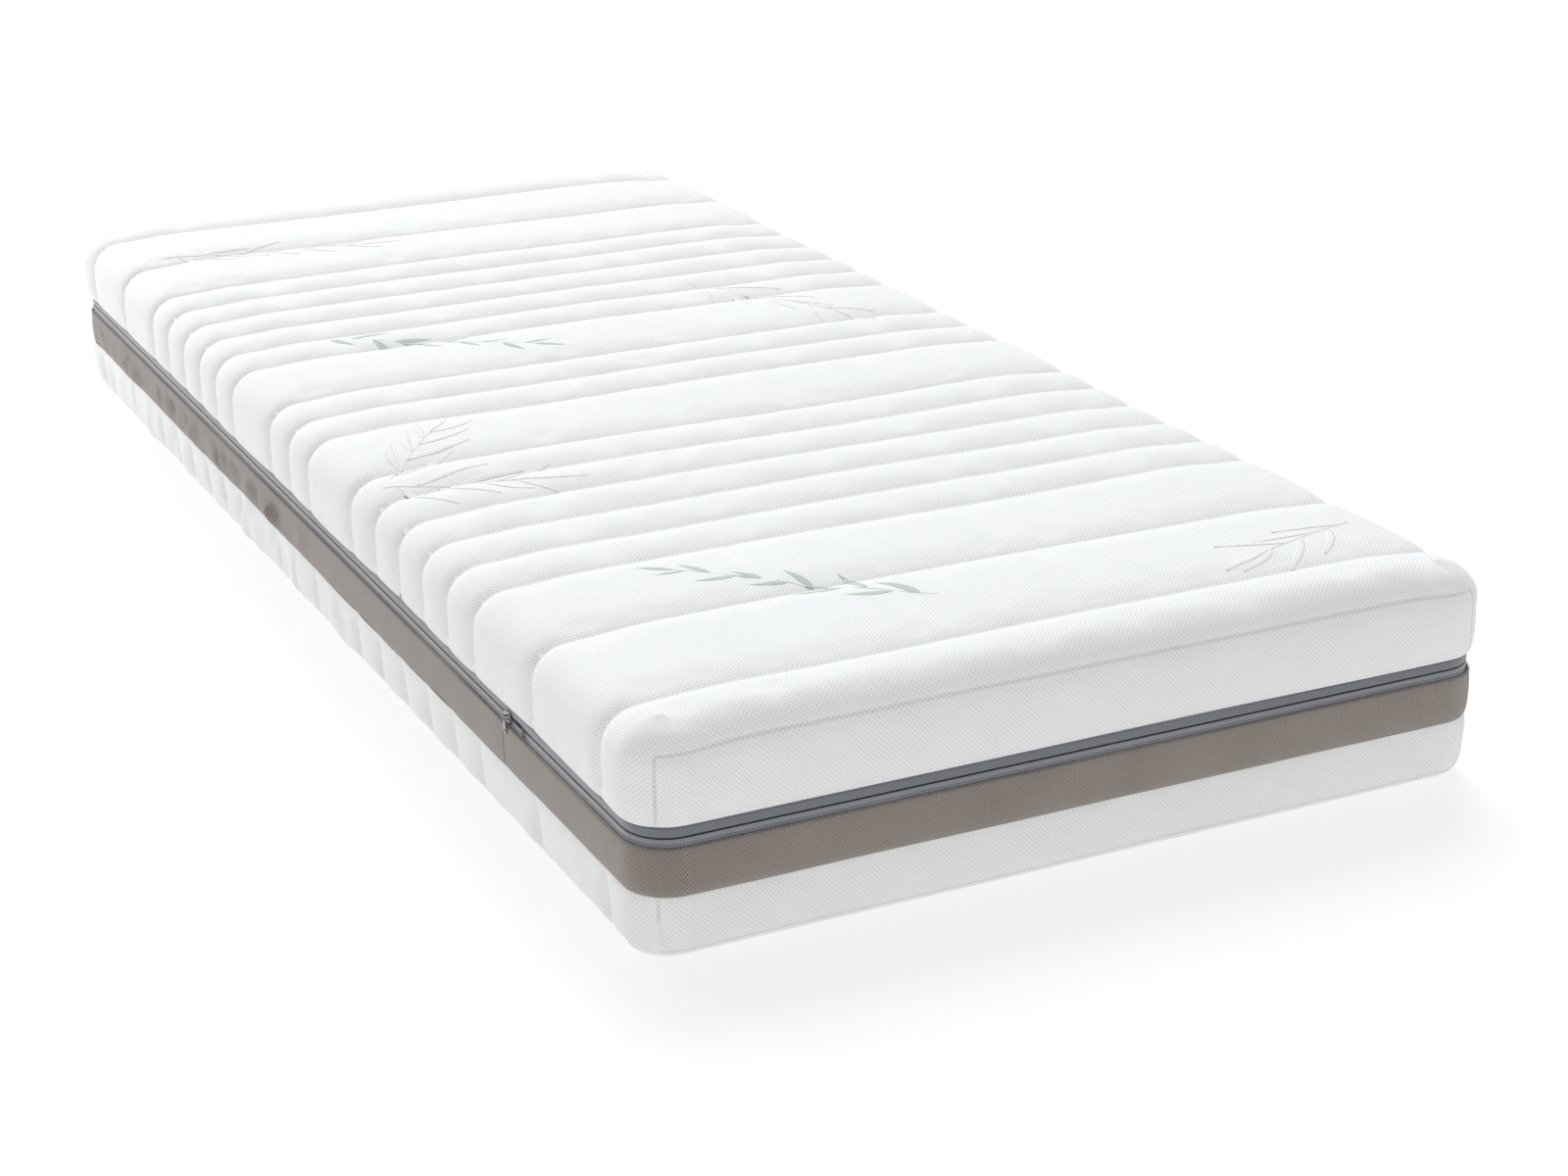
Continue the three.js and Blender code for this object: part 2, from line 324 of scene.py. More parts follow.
def cover_half(rows, down):
    """A cover half's skin: points, quads, fields, and each quad's column and row (-1 on the face)."""
    ring = ring_points(rows)
    run = rows[None, :, 3]
    sx, sy = np.where(FINE.out < 0, -1, 1).T
    by_side, by_end = np.zeros_like(ring), np.zeros_like(ring)
    by_side[:, :, 0] = sx[:, None] * (INNER_X + run)
    by_side[:, :, 1] = (FINE.base[:, 1] + sy * FINE.turn * CORNER_R)[:, None]
    by_end[:, :, 0] = (FINE.base[:, 0] + sx * (pi / 2 - FINE.turn) * CORNER_R)[:, None]
    by_end[:, :, 1] = sy[:, None] * (INNER_Y + run)
    by_side[:, 0, :2] = by_end[:, 0, :2] = FINE.base
    face, face_quads = face_grid(rows[0, 1], FINE, FINE.count * len(rows))
    up = np.zeros_like(face)
    up[:, 2] = -1 if down else 1
    points = np.concatenate([ring.reshape(-1, 3), face])
    fields = {
        "normal": np.concatenate([ring_normals(rows, down), up]),
        "by_side": np.concatenate([by_side.reshape(-1, 3), face * [1, 1, 0]]),
        "by_end": np.concatenate([by_end.reshape(-1, 3), face * [1, 1, 0]]),
    }
    ring_quads, columns, row_of = ring_faces(len(rows))
    none = np.full(len(face_quads), -1)
    quads = np.concatenate([ring_quads, face_quads])
    if down:
        quads = quads[:, ::-1]
    return points, quads, fields, np.concatenate([columns, none]), np.concatenate([row_of, none])


def closed_form(name, rows, down=False, change=None):
    """A closed body whose rows run from one flat face round the outside (and back inside) to another.

    change(points, normals) may move the points."""
    ring = ring_points(rows, COARSE).reshape(-1, 3)
    first, first_quads = face_grid(rows[0, 1], COARSE, len(ring))
    last, last_quads = face_grid(rows[-1, 1], COARSE, len(ring) + len(first))
    points = np.concatenate([ring, first, last])
    normals = np.zeros_like(points)
    normals[:len(ring)] = ring_normals(rows, down, COARSE)
    normals[len(ring):, 2] = np.repeat([-1 if down else 1, 1 if down else -1], len(first))
    quads = np.concatenate([ring_faces(len(rows), COARSE)[0], first_quads, last_quads[:, ::-1]])
    if down:
        quads = quads[:, ::-1]
    points, faces, fields, _ = weld_labelled(points, quads, {"normal": normals}, np.zeros(len(quads)))
    if change is not None:
        points = change(points, fields["normal"])
    return new_object(name, points, faces, {"flat": points})


def weld_labelled(points, quads, fields, labels):
    """Welds, keeping a label for each face that is left."""
    keys = np.round(points / (0.001 * MM)).astype(np.int64)
    _, first, index = np.unique(keys, axis=0, return_index=True, return_inverse=True)
    index = index.ravel()
    kept, kept_labels = [], []
    for face, label in zip(index[quads], labels):
        corners = [int(c) for i, c in enumerate(face) if c != face[i - 1]]
        if len(set(corners)) >= 3:
            kept.append(corners)
            kept_labels.append(label)
    return points[first], kept, {k: v[first] for k, v in fields.items()}, kept_labels


def distance_to(points, samples):
    """Each point's distance to the nearest of the samples."""
    nearest = np.full(len(points), 1e9)
    for start in range(0, len(points), 2000):
        part = points[start:start + 2000]
        gaps = norm(part[:, None, :] - samples[None, :, :], axis=2)
        nearest[start:start + 2000] = gaps.min(1)
    return nearest


# ---- Shape of the skin ----


def seam_distance(y):
    """The distance to the nearest quilt seam, at places along the mattress."""
    return np.abs(np.asarray(y)[..., None] - SEAMS).min(-1)


def channel_profile(y):
    """0 in a quilt seam and 1 on a crest: a narrow crease between broad pillows."""
    away = seam_distance(y)
    return 1 - 0.55 * np.exp(-away / CREASE) - 0.45 * np.exp(-away / PILLOW)


def waves(points, length, seed):
    """A smooth field of about -1 to 1 that changes over this length."""
    dice = np.random.default_rng(seed)
    total = np.zeros(len(points))
    for _ in range(6):
        direction = dice.normal(size=3)
        direction /= norm(direction)
        stretch = dice.uniform(0.7, 1.6)
        total += np.sin(points @ direction * (2 * pi * stretch / length) + dice.uniform(0, 2 * pi))
    return total / 3


def pleats(points, seed, low, high, count, width, lean):
    """Upright folds at scattered places along the long sides, 1 on a fold's crest."""
    dice = np.random.default_rng(seed)
    total = np.zeros(len(points))
    for _ in range(count):
        centre = dice.uniform(low, high)
        spread = width * dice.uniform(0.6, 1.4)
        slope = dice.uniform(-lean, lean)
        height = dice.uniform(0.4, 1.0) * dice.choice([-1, 1])
        middle = dice.uniform(0, LOW_HEM)
        offset = points[:, 1] - centre - slope * (points[:, 2] - middle)
        total += height * np.exp(-(offset / spread) ** 2)
    return total


def seam_samples(rows, seam_row):
    """Points along the end seams and the corner seams of a cover half, before it is puffed."""
    ring = ring_points(rows)
    at_end = FINE.turn >= CORNER_SEAM - 1e-6
    at_corner = np.abs(FINE.turn - CORNER_SEAM) < 1e-6
    return np.concatenate([ring[at_end, seam_row], ring[at_corner, seam_row:].reshape(-1, 3)])


def quilted(points, samples, puff, is_end):
    """How far the skin stands out: pillows between the seams, and a plain bulge on the end panels.

    Also gives the quilting's profile and a factor that rises from 0 at the end and corner seams to 1."""
    profile = channel_profile(points[:, 1])
    rise = 1 - np.exp(-distance_to(points, samples) / END_SOFTNESS)
    quilt = -(END_SEAM_DEPTH + (SEAM_DEPTH - END_SEAM_DEPTH) * rise) + puff * profile * rise
    end = -END_SEAM_DEPTH + (END_SEAM_DEPTH + END_BULGE) * rise
    return np.where(is_end, end, quilt), profile, rise


def faces_end(normals):
    return np.abs(normals[:, 1]) > sin(CORNER_SEAM) - 0.01


def drawn_in(out, near_hem):
    """The skin flattened and tucked in where it nears its hem."""
    return out * (1 - HEM_FLATTENING * near_hem) - HEM_TUCK * near_hem


def upper_skin(points, normals, samples):
    """Puffs, seams, crown and hem of the upper cover half."""
    is_end = faces_end(normals) & (points[:, 2] <= END_SEAM_TOP + SEAM_SLACK)
    out, profile, _ = quilted(points, samples, PUFF, is_end)
    side = 1 - np.abs(normals[:, 2])
    above = points[:, 2] - TOP_HEM
    out = drawn_in(out, (1 - smooth(above / HEM_REACH)) * side)
    out += UNEVENNESS * waves(points, 0.45, 11)
    moved = points + normals * out[:, None]
    edge = HALF_W - np.abs(points[:, 0])
    fall = CROWN * (1 - smooth(edge / CROWN_REACH))
    moved[:, 2] -= fall * np.clip(above / (HEIGHT - TOP_HEM), 0, 1)
    hang = SCALLOP * (0.5 - profile) * (1 - smooth(above / SCALLOP_REACH)) * np.abs(normals[:, 0]) * side
    moved[:, 2] += np.where(is_end, 0, hang)
    return moved


def lower_skin(points, normals, samples):
    """The same for the lower half, which lies flat on its underside and has folds on its far half."""
    is_end = faces_end(normals) & (points[:, 2] >= END_SEAM_BOTTOM - SEAM_SLACK)
    out, profile, rise = quilted(points, samples, LOW_PUFF, is_end)
    side = 1 - np.abs(normals[:, 2])
    below = LOW_HEM - points[:, 2]
    near_hem = 1 - smooth(below / HEM_REACH)
    out = drawn_in(out, near_hem)
    out -= LOW_TAPER * smooth(below / LOW_HEM)
    far = smooth((points[:, 1] + 0.45) / 0.3) * (1 - smooth((points[:, 1] - 0.9) / 0.08))
    out += LOW_FOLD * far * (1 - near_hem) * pleats(points, 5, -0.5, 0.95, 28, PLEAT_WIDTH, 0.7)
    out += UNEVENNESS * waves(points, 0.4, 12)
    out = np.maximum(out, -DEEPEST)
    moved = points + normals * (out * side)[:, None]
    groove = UNDER_GROOVE * (1 - profile) * rise
    moved[:, 2] += groove * np.clip(-normals[:, 2], 0, 1)
    moved[:, 2] = np.maximum(moved[:, 2], 0)
    return moved


HEM_ROLL = [(0.3, 1.0), (0.9, 0.1), (1.8, -0.2)]  # inset and height in mm
PAST_UPRIGHT = radians(91)


def with_hem_roll(rows, down):
    """Adds the rows that turn the cloth's edge inwards, behind the hem."""
    sign = -1 if down else 1
    rolled = rows[:-1].tolist()
    hem, run = rows[-1, 1], rows[-1, 3]
    for inset, height in HEM_ROLL:
        rolled.append((inset * MM, hem + sign * height * MM, PAST_UPRIGHT, run + inset * MM))
    return np.array(rolled)


SIM_FRAMES = 14
SIM_PRESSURE = 4
SIM_GROWTH = -0.012
SIM_CAP = 1.5 * MM
CORNER_CALM = 14 * MM  # pinned round the middle of each rounded corner
HEM_CALM = 3 * MM
UNDER_CALM = 1 * MM


def inflate(obj, pinned, cap):
    """Presses the cloth outwards between its pinned seams, and applies the result to the mesh.

    cap is how far each point may move."""
    before = coordinates(obj)
    group = obj.vertex_groups.new(name="seams")
    group.add([int(i) for i in np.flatnonzero(pinned)], 1.0, "REPLACE")
    modifier = obj.modifiers.new("Cloth", "CLOTH")
    cloth = modifier.settings
    cloth.quality = 5
    cloth.mass = 0.2
    cloth.tension_stiffness = 20
    cloth.compression_stiffness = 20
    cloth.shear_stiffness = 8
    cloth.bending_stiffness = 0.8
    cloth.air_damping = 2
    cloth.use_pressure = True
    cloth.uniform_pressure_force = SIM_PRESSURE
    cloth.effector_weights.gravity = 0
    cloth.vertex_group_mass = group.name
    cloth.shrink_min = SIM_GROWTH
    modifier.collision_settings.use_collision = False
    modifier.point_cache.frame_start = 1
    modifier.point_cache.frame_end = SIM_FRAMES
    for number in range(1, SIM_FRAMES + 1):
        scene.frame_set(number)
    graph = bpy.context.evaluated_depsgraph_get()
    after = np.zeros(before.size, np.float32)
    obj.evaluated_get(graph).data.vertices.foreach_get("co", after)
    obj.modifiers.clear()
    obj.vertex_groups.clear()
    moved = after.reshape(-1, 3) - before
    length = norm(moved, axis=1)
    moved *= np.minimum(1, cap / np.maximum(length, 1e-9))[:, None]
    moved[pinned] = 0
    set_coordinates(obj, before + moved)
    scene.frame_set(1)


EDGE_STEPS = 6
ROW_PITCH = 9 * MM
QUILT, QUILT_END, HEAD, FOOT = range(4)
PANELS = {"quilt_panel": (QUILT, QUILT_END), "end_panel_head": (HEAD,), "end_panel_foot": (FOOT,)}


def cover_labels(columns, row_of, seam_row):
    """Which panel each quad of a cover half belongs to."""
    end = FINE.turn >= CORNER_SEAM - 1e-6
    column_is_end = end & np.roll(end, -1)
    labels = []
    for column, row in zip(columns, row_of):
        if column < 0 or not column_is_end[column]:
            labels.append(QUILT)
        elif row < seam_row:
            labels.append(QUILT_END)
        else:
            labels.append(HEAD if FINE.out[column, 1] > 0 else FOOT)
    return labels


def cut_panel(name, mesh, kinds):
    """The faces of these kinds as an object of their own, with each face's own flat coordinates."""
    count = len(mesh.polygons)
    kind = np.zeros(count, np.int32)
    mesh.attributes["kind"].data.foreach_get("value", kind)
    points = np.zeros(len(mesh.vertices) * 3, np.float32)
    mesh.vertices.foreach_get("co", points)
    layers = {}
    for key in ("by_side", "by_end"):
        values = np.zeros(len(mesh.vertices) * 3, np.float32)
        mesh.attributes[key].data.foreach_get("vector", values)
        layers[key] = values.reshape(-1, 3)
    chosen = [mesh.polygons[i] for i in np.flatnonzero(np.isin(kind, kinds))]
    faces = [list(face.vertices) for face in chosen]
    part, part_faces = subset(points.reshape(-1, 3), faces)
    panel = new_object(name, part, part_faces)
    flat = panel.data.attributes.new("flat", "FLOAT_VECTOR", "CORNER")
    keys = ["by_side" if kind[face.index] == QUILT else "by_end" for face in chosen]
    rows = [layers[key][list(face.vertices)] for key, face in zip(keys, chosen)]
    flat.data.foreach_set("vector", np.concatenate(rows).ravel())
    return panel


def build_cover(prefix, down, hem, radius, seam_z, skin, body):
    """A cover half's knit: one puffed skin, cut along its seams into a quilted panel and two end panels."""
    face_z = 0 if down else HEIGHT
    tilt = acos(1 - abs(face_z - seam_z) / radius)
    drop = max(4, round((abs(hem - face_z) - radius) / ROW_PITCH))
    rows = with_hem_roll(face_rows(face_z, down, radius, hem, EDGE_STEPS, drop, tilt=tilt), down)
    seam_row = int(np.argmin(np.abs(rows[:, 2] - tilt)))
    points, quads, fields, columns, row_of = cover_half(rows, down)
    labels = cover_labels(columns, row_of, seam_row)
    points, faces, fields, labels = weld_labelled(points, quads, fields, labels)
    samples = seam_samples(rows, seam_row)
    puffed = skin(points, fields["normal"], samples)
    flats = {key: fields[key] for key in ("by_side", "by_end")}
    whole = new_object(f"{prefix}_whole", puffed, faces, flats)
    kind = whole.data.attributes.new("kind", "INT", "FACE")
    kind.data.foreach_set("value", labels)
    from_seam = np.minimum(seam_distance(points[:, 1]), distance_to(points, samples))
    pinned = from_seam < SEAM_SLACK
    pinned |= (points[:, 2] - hem) * (-1 if down else 1) < HEM_CALM
    pinned |= np.hypot(np.abs(points[:, 0]) - INNER_X, np.abs(points[:, 1]) - INNER_Y) < CORNER_CALM
    if down:
        pinned |= points[:, 2] < UNDER_CALM
    inflate(whole, pinned, SIM_CAP * smooth(from_seam / PILLOW))
    subdivide(whole)
    apply_modifiers(whole)
    tree = tree_of(whole)
    made = {}
    for name, kinds in PANELS.items():
        panel = cut_panel(f"{prefix}_{name}_knit", whole.data, kinds)
        solidify(panel, KNIT)
        apply_modifiers(panel)
        settle(panel, body, f"{prefix}_{name}")
        made[name] = panel
    bpy.data.objects.remove(whole)
    return made, rows, seam_row, tree


upper, UPPER_ROWS, UPPER_SEAM_ROW, UPPER_TREE = build_cover(
    "top", False, TOP_HEM, TOP_EDGE_R, END_SEAM_TOP, upper_skin, "top_cover")
lower, LOWER_ROWS, LOWER_SEAM_ROW, LOWER_TREE = build_cover(
    "lower", True, LOW_HEM, BOTTOM_EDGE_R, END_SEAM_BOTTOM, lower_skin, "mattress")

SKIN_REACH = 25 * MM


def on_skin(tree, points, normals, lift):
    """Where the finished knit lies over these points, moved out by the lift, and its normals there."""
    places, ups = [], []
    for point, normal in zip(points, normals):
        direction = Vector(normal).normalized()
        start = Vector(point) + direction * SKIN_REACH
        place, up, _, _ = tree.ray_cast(start, -direction, 2 * SKIN_REACH)
        if place is None:
            place, up, _, _ = tree.find_nearest(Vector(point))
        if up.dot(direction) < 0:
            up = -up
        places.append(place + up * lift)
        ups.append(up)
    return np.array(places), np.array(ups)


# ---- Band and zip: closed strips all the way round ----


def strip(name, section, shape=None):
    """A closed strip round the border. section is its outline as (inset, z), anticlockwise along the run.

    shape(ring) may move its points. The flat attribute holds (along, height)."""
    section = np.array(section, float)
    rows = np.column_stack([section, np.zeros((len(section), 2))])
    ring = ring_points(rows)
    if shape is not None:
        ring = shape(ring)
    quads, _, _ = ring_faces(len(section), closed_rows=True)
    flat = np.zeros_like(ring)
    flat[:, :, 0] = FINE.along[:-1, None]
    flat[:, :, 1] = section[None, :, 1]
    return new_object(name, ring.reshape(-1, 3), quads, {"flat": flat.reshape(-1, 3)})


def rounded_section(outer, inner, low, high, levels, round_by):
    """A tall thin outline with rounded ends, from its outer top, down the outside, and up the inside."""
    heights = np.linspace(high - round_by, low + round_by, levels)
    middle = (outer + inner) / 2
    outside = [(outer, z) for z in heights]
    inside = [(inner, z) for z in heights[::-1]]
    return [(middle, high)] + outside + [(middle, low)] + inside


BAND_INSET = 0.4 * MM
BAND = band_high.z - band_low.z
BAND_THICK = 2.2 * MM
BAND_TONGUE = 1.5 * MM
BAND_BULGE = 1.8 * MM
PUCKER = 11 * MM
EDGE_TUCK = 1.4 * MM
JOIN_Y = SLIDER_Y + 8 * MM
JOIN_WIDTH = 6 * MM
JOIN_DEPTH = 1.8 * MM


def shape_band(ring):
    """A slight bulge, edges drawn in to their seams, puckers on the far half and a join near the slider."""
    share = np.clip((ring[:, :, 2] - band_low.z) / BAND, 0, 1)
    points = ring.reshape(-1, 3)
    middle = np.sin(pi * share)
    on_long = smooth((np.abs(FINE.out[:, 0]) - 0.9) / 0.1)[:, None]
    far = smooth((ring[:, :, 1] + 0.3) / 0.4) * (1 - smooth((ring[:, :, 1] - 0.92) / 0.06))
    puckers = pleats(points, 21, -0.25, 0.95, 30, PLEAT_WIDTH, 0.8).reshape(share.shape)
    small = pleats(points, 22, -0.93, 0.95, 26, 16 * MM, 0.5).reshape(share.shape)
    clear_of_pull = 1 - smooth((share - 0.55) / 0.3)
    bulge = BAND_BULGE * middle ** 0.7
    bulge += PUCKER * np.clip(puckers, -0.5, 1) * far * on_long * clear_of_pull * middle
    bulge += 0.4 * MM * small * on_long * (0.4 + 0.6 * middle)
    bulge += 0.6 * MM * waves(points, 0.3, 23).reshape(share.shape)
    join = np.exp(-((ring[:, :, 1] - JOIN_Y) / JOIN_WIDTH) ** 2) * (FINE.out[:, 0] < -0.9)[:, None]
    bulge -= JOIN_DEPTH * join
    bulge -= EDGE_TUCK * (1 - smooth(share / 0.03))
    ring[:, :, :2] += FINE.out[:, None, :] * bulge[:, :, None]
    return ring


band_section = rounded_section(
    BAND_INSET, BAND_INSET + BAND_THICK, band_low.z - BAND_TONGUE, band_high.z, 12, 1.2 * MM)
band = strip("side_band_mesh", band_section, shape_band)
subdivide(band)
apply_modifiers(band)
settle(band, "mattress", "side_band")

OPENING_FROM = stop_high.y
OPENING_TO = slider_low.y
TAPE_EDGE_GAP = 0.8 * MM
OPENING_GAP = 2.2 * MM


def opening(points):
    """1 in the middle of the short stretch where the zip gapes behind its slider, and 0 elsewhere."""
    middle = (OPENING_FROM + OPENING_TO) / 2
    half = (OPENING_TO - OPENING_FROM) / 2
    q = np.clip(np.abs(points[..., 1] - middle) / half, 0, 1)
    return np.where(points[..., 0] < 0, (1 - q * q) ** 1.5, 0)


def shape_tape(towards):
    """Moves a tape's edge at the zip's centre line by the gape. towards is +1 for the upper tape."""

    def move(ring):
        near = 1 - smooth((np.abs(ring[:, :, 2] - ZIP_CENTRE) - 1 * MM) / (9 * MM))
        ring[:, :, 2] += towards * OPENING_GAP * opening(ring) * near
        wobble = 0.25 * MM * waves(ring.reshape(-1, 3), 0.08, 31).reshape(ring.shape[:2])
        ring[:, :, :2] -= FINE.out[:, None, :] * np.abs(wobble)[:, :, None]
        return ring

    return move


TAPE_OUT = HALF_W - upper_tape_high.x
TAPE_THICK = 1 * MM


def build_tape(node, towards, body):
    low, high = (corner.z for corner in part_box(node))
    edge_low = ZIP_CENTRE + TAPE_EDGE_GAP if towards > 0 else low
    edge_high = high if towards > 0 else ZIP_CENTRE - TAPE_EDGE_GAP
    section = rounded_section(TAPE_OUT, TAPE_OUT + TAPE_THICK, edge_low, edge_high, 7, TAPE_THICK / 2)
    tape = strip(f"{node}_cloth", section, shape_tape(towards))
    subdivide(tape)
    apply_modifiers(tape)
    settle(tape, body, node)
    return tape


upper_tape = build_tape("upper_zip_tape", 1, "top_cover")
lower_tape = build_tape("lower_zip_tape", -1, "mattress")


# ---- Coils: one tooth block after another on a core strip ----

TOOTH_PITCH = 3 * MM
TOOTH_LENGTH = 1.35 * MM
TOOTH_OVERLAP = 0.4 * MM


def resample(values, count, shift):
    """count even samples of per-station values round the border, shifted by a share of their spacing."""
    closed = np.concatenate([values, values[:1]])
    at = (np.arange(count) + shift) * PERIMETER / count
    return np.column_stack([np.interp(at, FINE.along, closed[:, k]) for k in range(closed.shape[1])])


def repeat_template(centres, axes, template, faces):
    """Copies of a small shape. axes holds for each copy its three directions as rows."""
    points = centres[:, None, :] + np.einsum("vk,nkc->nvc", template, axes)
    offsets = (np.arange(len(centres)) * len(template))[:, None, None]
    return points.reshape(-1, 3), (np.asarray(faces)[None] + offsets).reshape(-1, np.asarray(faces).shape[1])


COIL_DEPTH = 2.5 * MM
TOOTH_SIDES = 8


def build_coil(node, towards, body):
    """A row of teeth that reach past the zip's centre line, between the other row's teeth, on a core."""
    low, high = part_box(node)
    inset_out = HALF_W - high.x
    bottom = ZIP_CENTRE - TOOTH_OVERLAP if towards > 0 else low.z
    top = high.z if towards > 0 else ZIP_CENTRE + TOOTH_OVERLAP
    count = int(PERIMETER / TOOTH_PITCH)
    shift = 0.25 * towards
    base, out = resample(FINE.base, count, shift), resample(FINE.out, count, shift)
    out /= norm(out, axis=1, keepdims=True)
    centres = np.zeros((count, 3))
    centres[:, :2] = base + out * (CORNER_R - inset_out - COIL_DEPTH / 2)
    centres[:, 2] = (bottom + top) / 2
    centres[:, 2] += towards * OPENING_GAP * opening(centres)
    axes = np.zeros((count, 3, 3))
    axes[:, 0, :2] = out
    axes[:, 1, 0], axes[:, 1, 1] = -out[:, 1], out[:, 0]
    axes[:, 2, 2] = 1
    ring = [(cos(a), sin(a)) for a in np.arange(TOOTH_SIDES) * 2 * pi / TOOTH_SIDES]
    half = (top - bottom) / 2
    template = [(x * COIL_DEPTH / 2, end * TOOTH_LENGTH / 2, z * half) for end in (-1, 1) for x, z in ring]
    after = [(i + 1) % TOOTH_SIDES for i in range(TOOTH_SIDES)]
    sides = [[i, after[i], TOOTH_SIDES + after[i], TOOTH_SIDES + i] for i in range(TOOTH_SIDES)]
    points, side_faces = repeat_template(centres, axes, np.array(template), sides)
    caps = np.array([range(TOOTH_SIDES)[::-1], range(TOOTH_SIDES, 2 * TOOTH_SIDES)])
    offsets = (np.arange(count) * 2 * TOOTH_SIDES)[:, None, None]
    cap_faces = (caps[None] + offsets).reshape(-1, TOOTH_SIDES)
    teeth = new_object(f"{node}_teeth", points, side_faces.tolist() + cap_faces.tolist())
    core_section = rounded_section(
        inset_out + 0.8 * MM, inset_out + 1.7 * MM, low.z + 0.9 * MM, high.z - 0.9 * MM, 3, 0.3 * MM)
    core = strip(f"{node}_core", core_section, shape_tape(towards))
    return settle(teeth, body, node), settle(core, body)


upper_coil = build_coil("upper_zip_coil", 1, "top_cover")
lower_coil = build_coil("lower_zip_coil", -1, "mattress")


# ---- Wadding and backing behind the knit ----


def layer_rows(down, radius, hem, out_inset, in_inset):
    """Rows of a shell between two insets: down the outside to the hem, and back up the inside."""
    face = 0 if down else HEIGHT
    sign = -1 if down else 1
    outside = face_rows(face - sign * out_inset, down, radius, hem, 4, 3, inset=out_inset)
    inside = face_rows(face - sign * in_inset, down, radius, hem, 4, 3, inset=in_inset)[::-1].copy()
    inside[:, 2] += pi
    return np.concatenate([outside, inside])


def crown_fall(points, low, high):
    """How far a face's edges lie below its middle, less and less from the high level down to the low one."""
    edge = HALF_W - np.abs(points[:, 0])
    return CROWN * (1 - smooth(edge / CROWN_REACH)) * np.clip((points[:, 2] - low) / (high - low), 0, 1)


def is_outside(points, inset):
    """Tells the points of a layer's outer side from those of its inner side."""
    x, y, z = points.T
    to_side = np.minimum(HALF_W - np.abs(x), HALF_L - np.abs(y))
    to_face = np.minimum(HEIGHT - z, np.where(z < LOW_HEM, z, 1))
    return np.minimum(to_side, to_face) < inset


def lay_backing(points, normals):
    """Lets a thin lining sink with the crown of the face."""
    moved = points.copy()
    moved[:, 2] -= crown_fall(points, TOP_HEM, HEIGHT)
    return moved


UNDER_KNIT = KNIT + 2.2 * MM


def fill_behind(tree):
    """Lets a wadding's outer side lie against the knit's inner side, along its seams and its pillows."""

    def change(points, normals):
        moved = lay_backing(points, normals)
        outer = is_outside(points, (WADDING_OUT + WADDING_IN) / 2)
        moved[outer] = on_skin(tree, points[outer], normals[outer], -UNDER_KNIT)[0]
        return moved

    return change


def build_lining(name, down, hem, radius, out_inset, in_inset, body, change):
    rows = layer_rows(down, radius, hem, out_inset, in_inset)
    return settle(closed_form(f"{name}_cloth", rows, down, change), body, name)


def build_linings(half, down, wadding_hem, hem, radius, body, tree):
    """A cover half's wadding and backing."""
    wadding = build_lining(
        f"{half}_wadding", down, wadding_hem, radius, WADDING_OUT, WADDING_IN, body,
        fill_behind(tree))
    backing = build_lining(
        f"{half}_backing", down, hem, radius, BACKING_OUT, BACKING_OUT + BACKING, body,
        lay_backing)
    return wadding, backing


WADDING_HEM = upper_tape_high.z + 0.3 * MM
LOW_WADDING_HEM = LOW_HEM - 4 * MM
top_wadding, top_backing = build_linings(
    "top", False, WADDING_HEM, TOP_HEM, TOP_EDGE_R, "top_cover", UPPER_TREE)
lower_wadding, lower_backing = build_linings(
    "lower", True, LOW_WADDING_HEM, LOW_HEM, BOTTOM_EDGE_R, "mattress", LOWER_TREE)


# ---- Foam core ----

FOAM_EDGE = 2 * MM


def slab_rows(low, high, top_radius, low_radius):
    """Rows of a foam slab from its upper face round the side to its lower face."""
    rows = [(CORNER_R, high, 0, 0)]
    for tilt in np.linspace(0, pi / 2, 6):
        inset = CORE_INSET + top_radius * (1 - sin(tilt))
        rows.append((inset, high - top_radius * (1 - cos(tilt)), tilt, 0))
    for tilt in np.linspace(pi / 2, pi, 5):
        inset = CORE_INSET + low_radius * (1 - sin(tilt))
        rows.append((inset, low + low_radius * (1 + cos(tilt)), tilt, 0))
    rows.append((CORNER_R, low, pi, 0))
    return np.array(rows)


def crowned_foam(points, normals):
    moved = points.copy()
    moved[:, 2] -= crown_fall(points, comfort_low.z, comfort_high.z)
    return moved


def finish_foam(piece, node):
    settle(piece, "mattress", node)
    return piece


comfort = closed_form(
    "comfort_layer_foam", slab_rows(comfort_low.z, comfort_high.z, TOP_EDGE_R - CORE_INSET, FOAM_EDGE),
    change=crowned_foam)
base_foam = closed_form(
    "base_layer_foam", slab_rows(base_low.z, base_high.z, FOAM_EDGE, BOTTOM_EDGE_R - CORE_INSET))
finish_foam(comfort, "comfort_layer")
finish_foam(base_foam, "base_layer")

SLOT_WIDTH = 8 * MM
SLOT_DEPTH = 45 * MM
SLOTS = {"head": 3, "shoulder": 9, "lumbar": 1, "pelvis": 3, "thigh": 1, "calf": 9, "foot": 3}


def core_half_width(y):
    """Half the core's width at a place along it, less at the rounded corners."""
    r = CORNER_R - CORE_INSET
    past = np.clip(np.abs(y) - INNER_Y, 0, r)
    return INNER_X + np.sqrt(r * r - past * past)


